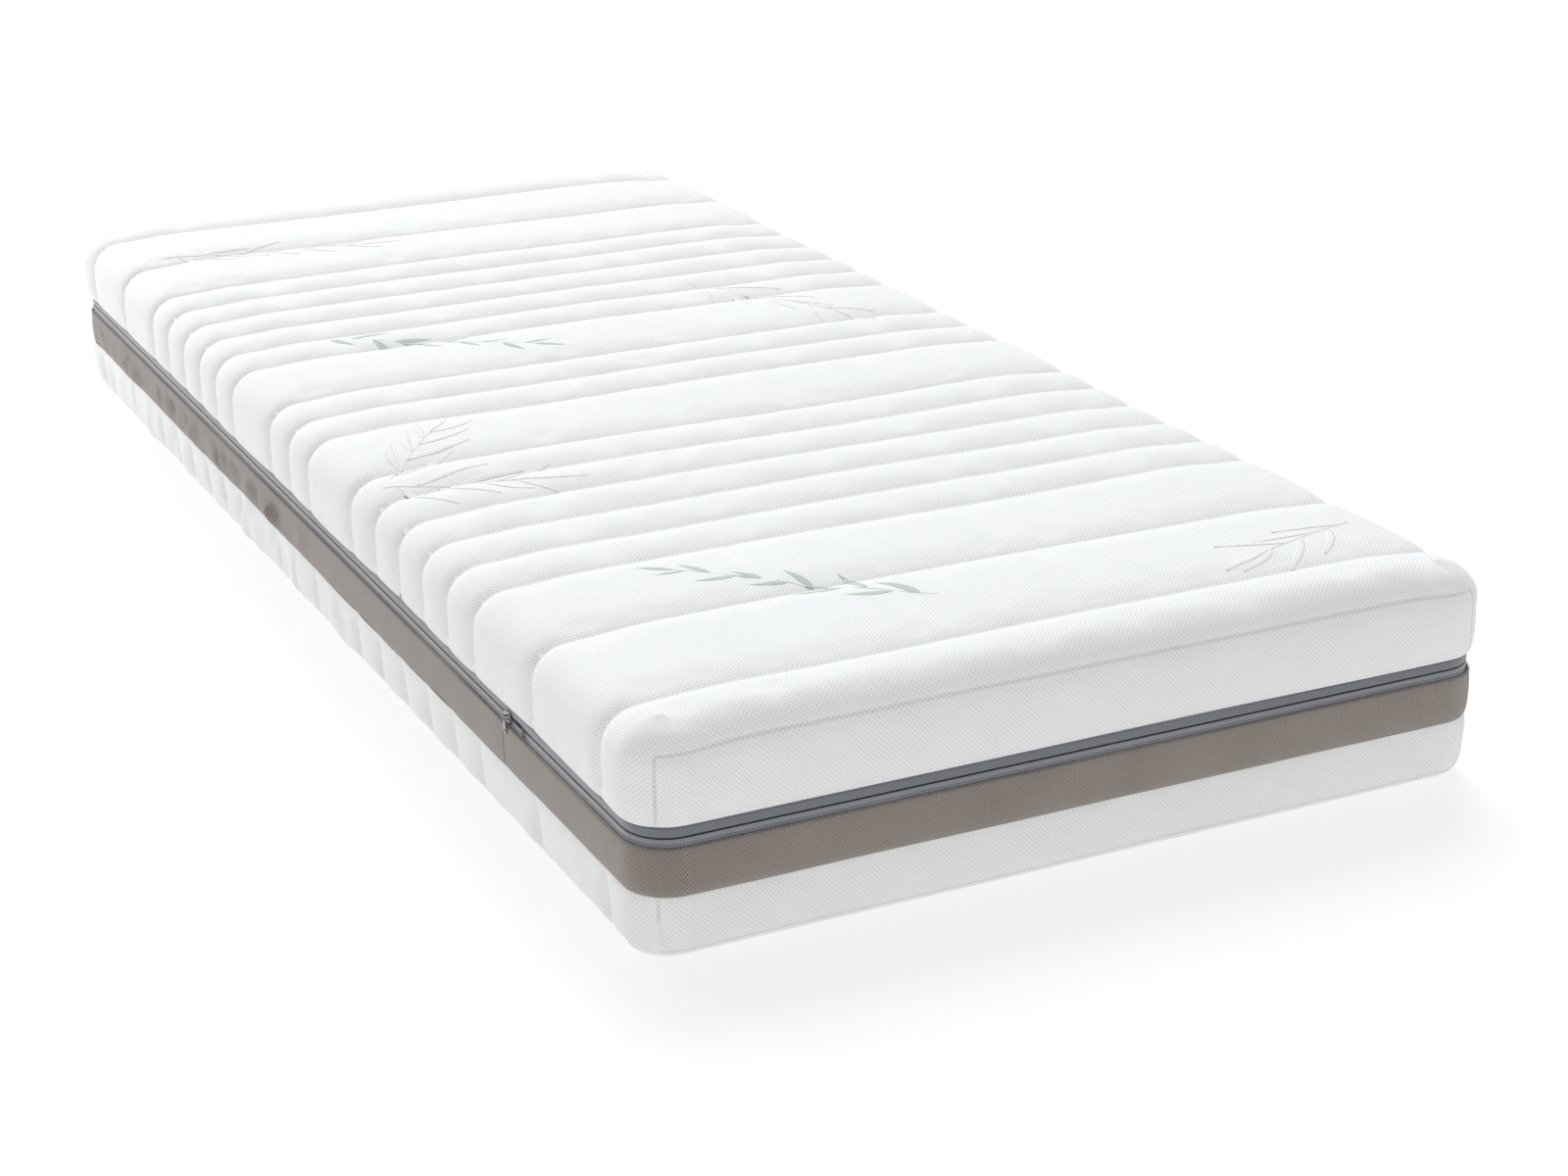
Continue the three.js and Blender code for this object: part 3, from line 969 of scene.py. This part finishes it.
def build_zone(name, slots):
    """A foam block slotted across from above, made of the cells of its side view."""
    node = f"zone_{name}"
    low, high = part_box(node)
    pitch = (high.y - low.y) / (slots + 1)
    cuts = [low.y + (i + 1) * pitch + side * SLOT_WIDTH / 2 for i in range(slots) for side in (-1, 1)]
    marks = {low.y, high.y, *cuts}
    r = CORNER_R - CORE_INSET
    for sign in (-1, 1):
        marks |= {sign * (INNER_Y + r * sin(a)) for a in np.linspace(0, pi / 2, 7)[:-1]}
    ys = np.array(sorted(y for y in marks if low.y - 1e-9 <= y <= high.y + 1e-9))
    zs = [low.z, high.z - SLOT_DEPTH, high.z]
    centre = (ys[:-1] + ys[1:]) / 2
    in_slot = [any(abs(y - (low.y + (i + 1) * pitch)) < SLOT_WIDTH / 2 for i in range(slots)) for y in centre]
    spans = 12
    points, number, faces = [], {}, []

    def point(i, k, m):
        if (i, k, m) not in number:
            number[i, k, m] = len(points)
            points.append(((2 * m / spans - 1) * core_half_width(ys[i]), ys[i], zs[k]))
        return number[i, k, m]

    def filled(i, k):
        return 0 <= i < len(ys) - 1 and 0 <= k < 2 and not (k == 1 and in_slot[i])

    for i in range(len(ys) - 1):
        for k in range(2):
            if not filled(i, k):
                continue
            for m, order in ((0, 1), (spans, -1)):
                ends = [point(i, k, m), point(i, k + 1, m), point(i + 1, k + 1, m), point(i + 1, k, m)]
                faces.append(ends[::-1] if order > 0 else ends)
            for m in range(spans):
                walls = (
                    (filled(i, k - 1), [(i, k), (i + 1, k)]),
                    (filled(i, k + 1), [(i + 1, k + 1), (i, k + 1)]),
                    (filled(i - 1, k), [(i, k + 1), (i, k)]),
                    (filled(i + 1, k), [(i + 1, k), (i + 1, k + 1)]))
                for hidden, ((a, b), (c, d)) in walls:
                    if not hidden:
                        faces.append([point(a, b, m), point(c, d, m), point(c, d, m + 1), point(a, b, m + 1)])
    block = new_object(f"{node}_foam", points, faces, {"flat": points})
    face_outwards(block)
    bevel(block, 1.2 * MM)
    apply_modifiers(block)
    return finish_foam(block, node)


zones = [build_zone(name, slots) for name, slots in SLOTS.items()]


# ---- Stitches ----

STITCH = [(-1, 0, 0), (-0.45, 1, 0), (-0.45, 0, 1), (-0.45, -1, 0), (-0.45, 0, -1),
          (0.45, 1, 0), (0.45, 0, 1), (0.45, -1, 0), (0.45, 0, -1), (1, 0, 0)]
STITCH_LIFT = 0.1 * MM
STITCH_FACES = [(0, 2, 1), (0, 3, 2), (0, 4, 3), (0, 1, 4), (9, 5, 6), (9, 6, 7), (9, 7, 8), (9, 8, 5)]
for quarter in range(4):
    after = (quarter + 1) % 4
    STITCH_FACES += [(1 + quarter, 1 + after, 5 + after), (1 + quarter, 5 + after, 5 + quarter)]


def stitches(name, lines, pitch, length, width, body, tree=None):
    """Short raised stitches along lines, each an array of points with their normals side by side.

    With a tree, they lie on the finished knit over those lines."""
    centres, axes = [], []
    for line in lines:
        places, normals = line[:, :3], line[:, 3:]
        steps = norm(np.diff(places, axis=0), axis=1)
        run = np.concatenate([[0], np.cumsum(steps)])
        at = np.arange(pitch / 2, run[-1], pitch)
        middle = np.column_stack([np.interp(at, run, places[:, k]) for k in range(3)])
        up = np.column_stack([np.interp(at, run, normals[:, k]) for k in range(3)])
        if tree is not None:
            middle, up = on_skin(tree, middle, up, STITCH_LIFT)
        along = np.gradient(middle, axis=0)
        along /= np.maximum(norm(along, axis=1, keepdims=True), 1e-9)
        across = np.cross(up, along)
        across /= np.maximum(norm(across, axis=1, keepdims=True), 1e-9)
        up = np.cross(along, across)
        centres.append(middle)
        axes.append(np.stack([along * length / 2, across * width / 2, up * width / 2], 1))
    centres, axes = np.concatenate(centres), np.concatenate(axes)
    points, faces = repeat_template(centres, axes, np.array(STITCH), STITCH_FACES)
    return settle(new_object(name, points, faces), body)


def quilt_seam_lines(rows, down):
    """Each quilt seam of a cover half from hem to hem, as the knit lies before it is puffed."""
    ring = ring_points(rows)
    normals = ring_normals(rows, down, FINE).reshape(ring.shape)
    face_z = rows[0, 1]
    up = np.array([0, 0, -1.0 if down else 1.0])
    usable = [j for j in range(len(rows)) if rows[j, 2] <= pi / 2 + 1e-6]
    lines = []
    for y in SEAMS:
        away = np.abs(FINE.base[:, 1] - y)
        right, left = (int(np.argmin(away + (side * FINE.out[:, 0] < 0.999) * 9)) for side in (1, -1))
        across = np.array([(x, y, face_z) for x in FINE.xs])
        back = usable[::-1]
        over = np.tile(up, (len(across), 1))
        places = np.concatenate([ring[left, back], across, ring[right, usable]])
        ups = np.concatenate([normals[left, back], over, normals[right, usable]])
        keep = np.concatenate([[True], norm(np.diff(places, axis=0), axis=1) > 1e-6])
        lines.append(np.column_stack([places[keep], ups[keep]]))
    return lines


def end_seam_lines(rows, seam_row, down):
    """The seams round the end panels: across each end and down its two corners."""
    ring = ring_points(rows)
    normals = ring_normals(rows, down, FINE).reshape(ring.shape)
    lines = []
    for sign in (-1, 1):
        at_end = np.flatnonzero((FINE.turn >= CORNER_SEAM - 1e-6) & (FINE.out[:, 1] * sign > 0))
        lines.append(np.column_stack([ring[at_end, seam_row], normals[at_end, seam_row]]))
    usable = [j for j in range(seam_row, len(rows)) if rows[j, 2] <= pi / 2 + 1e-6]
    for corner in np.flatnonzero(np.abs(FINE.turn - CORNER_SEAM) < 1e-6):
        lines.append(np.column_stack([ring[corner, usable], normals[corner, usable]]))
    return lines


def border_line(height, inset):
    """A level line all the way round the border."""
    ring = ring_points(np.array([(inset, height, 0, 0)]))[:, 0]
    normals = np.column_stack([FINE.out, np.zeros(FINE.count)])
    line = np.column_stack([ring, normals])
    return np.concatenate([line, line[:1]])


def cover_stitches(half, rows, seam_row, down, body, tree):
    """The thread of a cover half's quilt seams and of its end and corner seams."""
    made = []
    for name, lines, pitch in (
            ("quilt_stitches", quilt_seam_lines(rows, down), QUILT_STITCH),
            ("end_seam_stitches", end_seam_lines(rows, seam_row, down), END_STITCH)):
        made.append(stitches(f"{half}_{name}", lines, pitch, 0.75 * pitch, KNIT_THREAD, body, tree))
    return made


def tape_stitches(name, lines, length, width, body):
    return stitches(name, lines, TAPE_STITCH, length, width, body)


QUILT_STITCH = 4.2 * MM
END_STITCH = 3.2 * MM
KNIT_THREAD = 0.7 * MM
TAPE_STITCH = 3.4 * MM
JOIN_STITCH = 3.2 * MM
TAPE_SEAM_INSET = TAPE_OUT - 0.1 * MM
white_threads = cover_stitches("top", UPPER_ROWS, UPPER_SEAM_ROW, False, "top_cover", UPPER_TREE)
white_threads += cover_stitches("lower", LOWER_ROWS, LOWER_SEAM_ROW, True, "mattress", LOWER_TREE)
join_ends = (band_low.z + 1 * MM, band_high.z - 3 * MM)
join_line = np.array([(-HALF_W, JOIN_Y, z, -1, 0, 0) for z in join_ends], float)
grey_threads = [
    stitches(
        "band_join_stitches", [join_line], JOIN_STITCH, 2.3 * MM, 1.1 * MM, "mattress",
        tree_of(band)),
    tape_stitches(
        "band_top_stitches", [border_line(band_high.z - 1.4 * MM, -0.1 * MM)],
        2.3 * MM, 0.9 * MM, "mattress"),
    tape_stitches(
        "lower_tape_stitches", [border_line(band_high.z + 2.2 * MM, TAPE_SEAM_INSET)],
        2.4 * MM, 0.7 * MM, "mattress"),
    tape_stitches(
        "upper_tape_stitches", [border_line(TOP_HEM - 3 * MM, TAPE_SEAM_INSET)],
        2.4 * MM, 0.7 * MM, "top_cover"),
]


# ---- Leaf sprays: raised ones in the knit, and printed ones ----

LEAF_STATIONS = 11
LEAF_SECTION = [(-1, -0.4), (-0.55, 0.8), (0, 0.45), (0.55, 0.8), (1, -0.4), (0.55, -1), (0, -1), (-0.55, -1)]
LEAF_ROOT_DEPTH = 0.5 * MM


def leaf(start, heading, length, width, bend, rise):
    """A pointed leaf blade with a vein: rows of (u, v, height) from its stalk to its tip."""
    rows = []
    place = np.array(start, float)
    for i in range(LEAF_STATIONS):
        share = i / (LEAF_STATIONS - 1)
        angle = heading + bend * share
        ahead = np.array([cos(angle), sin(angle)])
        half = width / 2 * sin(pi * min(1, share ** 0.8)) ** 0.85 + 0.05 * MM
        side = np.array([-ahead[1], ahead[0]])
        for s, h in LEAF_SECTION:
            height = h * rise if h > 0 else h * LEAF_ROOT_DEPTH
            rows.append((*(place + side * s * half), height))
        place = place + ahead * length / (LEAF_STATIONS - 1)
    return rows


def spray(start, end, leaves, length, width, rise, seed):
    """A stem from start to end with leaves on both sides and one at its tip."""
    dice = np.random.default_rng(seed)
    start, end = np.array(start, float), np.array(end, float)
    run = float(norm(end - start))
    heading = atan2(*(end - start)[::-1])
    stem_run = run - 0.6 * length
    made = [leaf(start, heading, stem_run, 2.6 * MM, 0, rise)]
    ahead = (end - start) / run
    for i in range(leaves):
        place = start + ahead * stem_run * (i + 0.6) / leaves
        side = 1 if i % 2 else -1
        angle = heading + side * radians(dice.uniform(24, 46))
        scale = (1 - 0.35 * i / leaves) * dice.uniform(0.85, 1.1)
        made.append(leaf(place, angle, length * scale, width * scale, -side * dice.uniform(0.1, 0.5), rise))
    made.append(leaf(start + ahead * stem_run, heading, 0.75 * length, 0.8 * width, 0.1, rise))
    return made


def lay_leaves(name, sprays, length, width, rise, seed):
    """Lays sprays of leaves on the finished knit of the top, which they ride."""
    points, faces, flat = [], [], []
    across = len(LEAF_SECTION)
    leaves = []
    for number, (start, end, count) in enumerate(sprays):
        leaves += spray(start, end, count, length, width, rise, seed + number)
    for rows in leaves:
        first = len(points)
        bases = [Vector((a, b, HEIGHT)) for a, b, _ in rows]
        lifts = np.array([h for _, _, h in rows])
        places, ups = on_skin(UPPER_TREE, bases, [(0, 0, 1)] * len(bases), 0)
        points.extend(places + ups * lifts[:, None])
        flat.extend((a, b, 0) for a, b, _ in rows)
        for i in range(LEAF_STATIONS - 1):
            for k in range(across):
                a, b = first + i * across + k, first + i * across + (k + 1) % across
                faces.append((a, b, b + across, a + across))
        last = first + (LEAF_STATIONS - 1) * across
        faces += [tuple(end + k for k in range(across)) for end in (first, last)]
    piece = new_object(name, points, faces, {"flat": flat})
    face_outwards(piece)
    return settle(piece, "top_cover")


RAISED = 0.9 * MM
PRINTED = 0.25 * MM
RAISED_SPRAYS = [  # start, end, leaves
    ((-0.385, 0.775), (-0.09, 0.7), 9),
    ((-0.425, -0.27), (-0.24, -0.35), 7),
    ((-0.41, -0.25), (-0.29, -0.09), 7),
    ((0.19, 0.32), (0.32, 0.06), 8),
    ((0.4, -0.83), (0.22, -0.89), 6),
]
PRINTED_SPRAYS = [
    ((-0.32, 0.295), (-0.07, 0.12), 10),
    ((-0.07, -0.83), (-0.285, -0.635), 10),
]
leaf_relief = lay_leaves("leaf_relief", RAISED_SPRAYS, 90 * MM, 13 * MM, RAISED, 40)
leaf_print = lay_leaves("leaf_print", PRINTED_SPRAYS, 52 * MM, 14 * MM, PRINTED, 60)


# ---- Materials ----


class Shade:
    """A node material, built from small calls."""

    def __init__(self, name, color, roughness, metallic=0.0, sheen=0.0, specular=0.5):
        self.material = bpy.data.materials.new(name)
        self.material.use_nodes = True
        self.tree = self.material.node_tree
        self.shader = self.tree.nodes["Principled BSDF"]
        self.put("Base Color", (*color, 1))
        self.put("Roughness", roughness)
        self.put("Metallic", metallic)
        self.put("Sheen Weight", sheen)
        self.put("Sheen Roughness", 0.5)
        self.put("Specular IOR Level", specular)

    def put(self, socket, value):
        """Sets or links one of the shader's sockets."""
        self.feed(self.shader.inputs[socket], value)

    def feed(self, socket, value):
        if isinstance(value, bpy.types.NodeSocket):
            self.tree.links.new(value, socket)
        else:
            socket.default_value = value

    def node(self, kind, *values, out=0, **settings):
        """A node of this kind, with its first inputs fed in order, and one of its outputs."""
        made = self.tree.nodes.new("ShaderNode" + kind)
        for key, value in settings.items():
            setattr(made, key, value)
        for socket, value in zip(made.inputs, values):
            if value is not None:
                self.feed(socket, value)
        return made.outputs[out]

    def math(self, operation, *values):
        return self.node("Math", *values, operation=operation)

    def times(self, a, b):
        return self.math("MULTIPLY", a, b)

    def scaled(self, value, factor, plus):
        return self.math("MULTIPLY_ADD", value, factor, plus)

    def cosine(self, angle):
        return self.math("COSINE", angle)

    def flat(self, scale_u, scale_v):
        """The cloth's own flat coordinates, multiplied, as two outputs."""
        place = self.node("Attribute", out="Vector", attribute_name="flat")
        scaled = self.node("VectorMath", place, (scale_u, scale_v, 1), operation="MULTIPLY")
        split = self.tree.nodes.new("ShaderNodeSeparateXYZ")
        self.tree.links.new(scaled, split.inputs[0])
        return split.outputs["X"], split.outputs["Y"]

    def place(self):
        return self.node("TexCoord", out="Object")

    def noise(self, scale, detail=2.0):
        made = self.tree.nodes.new("ShaderNodeTexNoise")
        self.feed(made.inputs["Vector"], self.place())
        made.inputs["Scale"].default_value = scale
        made.inputs["Detail"].default_value = detail
        return made.outputs["Fac"]

    def mix_colors(self, factor, low, high):
        made = self.tree.nodes.new("ShaderNodeMix")
        made.data_type = "RGBA"
        self.feed(made.inputs[0], factor)
        self.feed(made.inputs[6], (*low, 1) if isinstance(low, tuple) else low)
        self.feed(made.inputs[7], (*high, 1) if isinstance(high, tuple) else high)
        return made.outputs[2]

    def bump(self, height, distance, strength=1.0):
        made = self.tree.nodes.new("ShaderNodeBump")
        made.inputs["Strength"].default_value = strength
        made.inputs["Distance"].default_value = distance
        self.feed(made.inputs["Height"], height)
        self.put("Normal", made.outputs["Normal"])


TURN_ROUND = 2 * pi
KNIT_CELL = 5 * MM
YARN = 1.25 * MM
MESH_PITCH = 2.8 * MM
TAPE_RIB = 1.3 * MM


def knit_material(name, light, dark):
    """A double jersey: staggered rows of small dimples, with fine stitches between them."""
    shade = Shade(name, light, 0.85, sheen=0.15, specular=0.2)
    u, v = shade.flat(TURN_ROUND / KNIT_CELL, TURN_ROUND / KNIT_CELL)
    cells = shade.times(shade.cosine(u), shade.cosine(v))
    dimples = shade.node("MapRange", cells, 0.1, 0.8, 0.0, 1.0, interpolation_type="SMOOTHSTEP")
    fine_u, fine_v = shade.flat(TURN_ROUND / YARN, TURN_ROUND / YARN)
    yarn = shade.times(shade.cosine(fine_u), shade.cosine(fine_v))
    height = shade.scaled(dimples, -1.0, shade.times(yarn, 0.12))
    soft = shade.scaled(shade.noise(60), 0.35, height)
    shade.bump(soft, 0.4 * MM)
    # painted shade: the dimples are coloured darker, more in some places than others at random; the noise
    # added on top is a random tone of the knit
    dimple_shade_amount = shade.scaled(shade.noise(14), 0.9, 0.1)
    uneven = shade.scaled(shade.noise(9), 0.2, shade.times(dimples, dimple_shade_amount))
    shade.put("Base Color", shade.mix_colors(uneven, light, dark))
    return shade.material


def mesh_material(name, light, dark, hole_shade_color):
    """A 3D spacer mesh: slanting rows of small openings between raised ribs."""
    shade = Shade(name, light, 0.75, sheen=0.55, specular=0.3)
    u, v = shade.flat(TURN_ROUND / MESH_PITCH, TURN_ROUND / MESH_PITCH)
    rising = shade.scaled(v, 0.62, u)
    falling = shade.scaled(v, -0.62, u)
    ribs = shade.cosine(rising)
    crossing = shade.cosine(falling)
    openings = shade.times(shade.math("ADD", ribs, crossing), 0.5)
    height = shade.scaled(crossing, 0.45, shade.times(openings, 0.8))
    shade.bump(height, 0.45 * MM)
    # painted shade: the colour is lighter on the raised ribs and darker lower down, mixed with a random tone
    tone = shade.scaled(height, 0.4, 0.5)
    uneven = shade.scaled(shade.noise(14), 0.35, shade.times(tone, 0.85))
    cloth = shade.mix_colors(uneven, dark, light)
    # painted shade: the deepest openings get the near-black hole colour
    deep = shade.math("LESS_THAN", openings, -0.72)
    shade.put("Base Color", shade.mix_colors(deep, cloth, hole_shade_color))
    return shade.material


def tape_material(name, light, dark):
    """A woven zip tape with fine ribs along it."""
    shade = Shade(name, light, 0.6, sheen=0.6, specular=0.35)
    u, v = shade.flat(TURN_ROUND / TAPE_RIB, TURN_ROUND / TAPE_RIB)
    ribs = shade.cosine(v)
    picks = shade.cosine(shade.scaled(v, 0.5, u))
    height = shade.scaled(picks, 0.4, ribs)
    shade.bump(height, 0.12 * MM)
    # painted shade: the weave's colour is lighter on the rib crests and darker in the grooves between them
    tone = shade.scaled(height, 0.3, 0.5)
    shade.put("Base Color", shade.mix_colors(tone, dark, light))
    return shade.material


def plain_cloth(name, light, dark, thread=0.9 * MM):
    """A thin nonwoven or plain woven cloth."""
    shade = Shade(name, light, 0.9, sheen=0.1, specular=0.2)
    shade.bump(shade.noise(1 / thread, 3), 0.2 * MM)
    shade.put("Base Color", shade.mix_colors(shade.noise(25), dark, light))
    return shade.material


def foam_material(name, light, dark, cell):
    """Open-cell foam: fine pores, cut flat, a little uneven in tone."""
    shade = Shade(name, light, 0.95, specular=0.1)
    pores = shade.tree.nodes.new("ShaderNodeTexVoronoi")
    shade.feed(pores.inputs["Vector"], shade.place())
    pores.inputs["Scale"].default_value = 1 / cell
    open_cells = pores.outputs["Distance"]
    shade.bump(open_cells, 0.5 * MM, 0.7)
    # painted shade: the pores' hollow middles are coloured darker, mixed with a random tone
    tone = shade.scaled(shade.noise(12), 0.5, shade.times(open_cells, 0.6))
    shade.put("Base Color", shade.mix_colors(tone, dark, light))
    return shade.material


def metal_material(name, color):
    """Plated die-cast zinc, with a faint uneven polish."""
    shade = Shade(name, color, 0.28, metallic=1.0)
    rough = shade.scaled(shade.noise(900, 3), 0.18, 0.2)
    shade.put("Roughness", rough)
    shade.bump(shade.noise(500), 0.05 * MM)
    return shade.material


def thread_material(name, light, dark):
    shade = Shade(name, light, 0.6, sheen=0.3)
    shade.put("Base Color", shade.mix_colors(shade.noise(200), dark, light))
    return shade.material


KNIT_WHITE = knit_material("white_knit", (0.885, 0.9, 0.92), (0.73, 0.745, 0.76))
SAGE_PRINT = knit_material("sage_print", (0.56, 0.62, 0.58), (0.44, 0.5, 0.46))
WADDING_WHITE = plain_cloth("white_wadding", (0.86, 0.875, 0.89), (0.79, 0.80, 0.815), 2 * MM)
BACKING_WHITE = plain_cloth("backing_cloth", (0.78, 0.79, 0.8), (0.7, 0.71, 0.72))
# the dark colour is partly painted shade in the mesh's low parts, and the near-black last colour is painted
# shade in its openings
SPACER_MESH = mesh_material("taupe_spacer_mesh", (0.385, 0.33, 0.3), (0.12, 0.1, 0.09), (0.035, 0.03, 0.027))
# painted light and shade: one tape weave in two copies, a darker shaded one for the upper tape and a lighter
# lit one for the lower tape
SHADED_UPPER_TAPE = tape_material("upper_tape_shaded_weave", (0.20, 0.22, 0.25), (0.13, 0.14, 0.165))
LIT_LOWER_TAPE = tape_material("lower_tape_lit_weave", (0.30, 0.32, 0.36), (0.2, 0.21, 0.24))
COIL_PLASTIC = thread_material("coil_plastic", (0.1, 0.11, 0.13), (0.06, 0.07, 0.08))
COMFORT_FOAM = foam_material("comfort_foam_cells", (0.86, 0.8, 0.66), (0.76, 0.69, 0.54), 1.4 * MM)
ZONE_FOAM = foam_material("zone_foam_cells", (0.74, 0.8, 0.85), (0.62, 0.69, 0.75), 1.6 * MM)
BASE_FOAM = foam_material("base_foam_cells", (0.62, 0.66, 0.7), (0.5, 0.54, 0.58), 1.8 * MM)
PLATED_METAL = metal_material("plated_metal", (0.36, 0.365, 0.37))
WHITE_THREAD = thread_material("white_thread", (0.88, 0.895, 0.91), (0.8, 0.815, 0.83))
GREY_THREAD = thread_material("grey_thread", (0.14, 0.145, 0.16), (0.09, 0.095, 0.105))


METAL_EDGE = 0.25 * MM
METAL_EDGE_ANGLE = 40


def dress(obj, finish):
    obj.data.materials.clear()
    obj.data.materials.append(finish)


FINISHES = [
    (KNIT_WHITE, [*upper.values(), *lower.values(), leaf_relief]),
    (SAGE_PRINT, [leaf_print]),
    (SPACER_MESH, [band]),
    (SHADED_UPPER_TAPE, [upper_tape]),
    (LIT_LOWER_TAPE, [lower_tape]),
    (COIL_PLASTIC, [*upper_coil, *lower_coil]),
    (WADDING_WHITE, [top_wadding, lower_wadding]),
    (BACKING_WHITE, [top_backing, lower_backing]),
    (COMFORT_FOAM, [comfort]),
    (BASE_FOAM, [base_foam]),
    (ZONE_FOAM, zones),
    (WHITE_THREAD, white_threads),
    (GREY_THREAD, grey_threads),
]
for finish, pieces in FINISHES:
    for piece in pieces:
        dress(piece, finish)
for node in ("zip_slider", "zip_pull"):
    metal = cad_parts[node]
    dress(metal, PLATED_METAL)
    bevel(metal, METAL_EDGE, METAL_EDGE_ANGLE)


# ---- Zip stop: a bar of close stitches over the tape ----


BARS = 5
BAR_POINTS = 9
BAR_BULGE = 0.5 * MM


def build_stop():
    centre = (stop_low + stop_high) / 2
    half = (stop_high - stop_low) / 2
    z = np.linspace(stop_low.z + 0.3 * MM, stop_high.z + 2.5 * MM, BAR_POINTS)
    x = centre.x - BAR_BULGE + BAR_BULGE * ((z - z.mean()) / (z[-1] - z[0]) * 2) ** 2
    line = np.column_stack([x, z, z, np.tile([-1, 0, 0], (BAR_POINTS, 1))])
    lines = []
    for i in range(BARS):
        line[:, 1] = stop_low.y + (i + 0.5) * 2 * half.y / BARS
        lines.append(line.copy())
    return stitches("zip_stop_bar", lines, 2.2 * MM, 3.2 * MM, 1.5 * MM, "mattress")


stop = build_stop()
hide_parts("zip_stop")
dress(stop, GREY_THREAD)


# ---- Floor, light and camera ----

FLOOR = 30
FLOOR_Z = -0.5 * MM
floor_mesh = bpy.data.meshes.new("floor")
floor_mesh.from_pydata(
    [(x * FLOOR, y * FLOOR, FLOOR_Z) for x, y in ((-1, -1), (1, -1), (1, 1), (-1, 1))], [], [(0, 1, 2, 3)])
floor = bpy.data.objects.new("floor", floor_mesh)
scene.collection.objects.link(floor)
floor_shade = Shade("pale_floor", (0.42, 0.415, 0.405), 0.9, specular=0.0)
floor_shade.put("Emission Color", (1.0, 0.995, 0.985, 1))
floor_shade.put("Emission Strength", 0.62)
dress(floor, floor_shade.material)

world = bpy.data.worlds.new("studio")
world.use_nodes = True
sky = world.node_tree.nodes["Background"].inputs
sky["Color"].default_value = (1.0, 0.99, 0.97, 1)
sky["Strength"].default_value = 0.68
scene.world = world
scene.view_settings.view_transform = "Standard"


def aim(light, place, target):
    light.location = place
    light.rotation_euler = (Vector(target) - Vector(place)).to_track_quat("-Z", "Y").to_euler()
    scene.collection.objects.link(light)


CENTRE = (0, 0, HEIGHT / 2)
key = bpy.data.lights.new("soft_key", "SUN")
key.angle = radians(35)
key.energy = 1.75
key.color = (0.94, 0.97, 1.0)
aim(bpy.data.objects.new("soft_key", key), (1.2, 3.0, 3.4), CENTRE)
fill = bpy.data.lights.new("side_fill", "AREA")
fill.shape = "DISK"
fill.size = 1.2
fill.energy = 52
aim(bpy.data.objects.new("side_fill", fill), (-1.6, 3.4, 1.1), (-HALF_W, 0.2, HEIGHT / 2))

AZIMUTH = radians(-25.8)
ELEVATION = radians(20.96)
ROLL = radians(-0.57)
LENS = 66.4
DISTANCE = 3.0475
LOOK_AT = Vector((-0.060, -0.480, HEIGHT / 2))

back = Vector((
    sin(AZIMUTH) * cos(ELEVATION), -cos(AZIMUTH) * cos(ELEVATION), sin(ELEVATION)))
camera = bpy.data.objects.new("camera", bpy.data.cameras.new("camera"))
camera.data.lens = LENS
camera.data.sensor_width = 36
camera.location = LOOK_AT + back * DISTANCE
rotation = (-back).to_track_quat("-Z", "Y").to_matrix() @ Euler((0, 0, ROLL)).to_matrix()
camera.rotation_euler = rotation.to_euler()
scene.collection.objects.link(camera)
scene.camera = camera
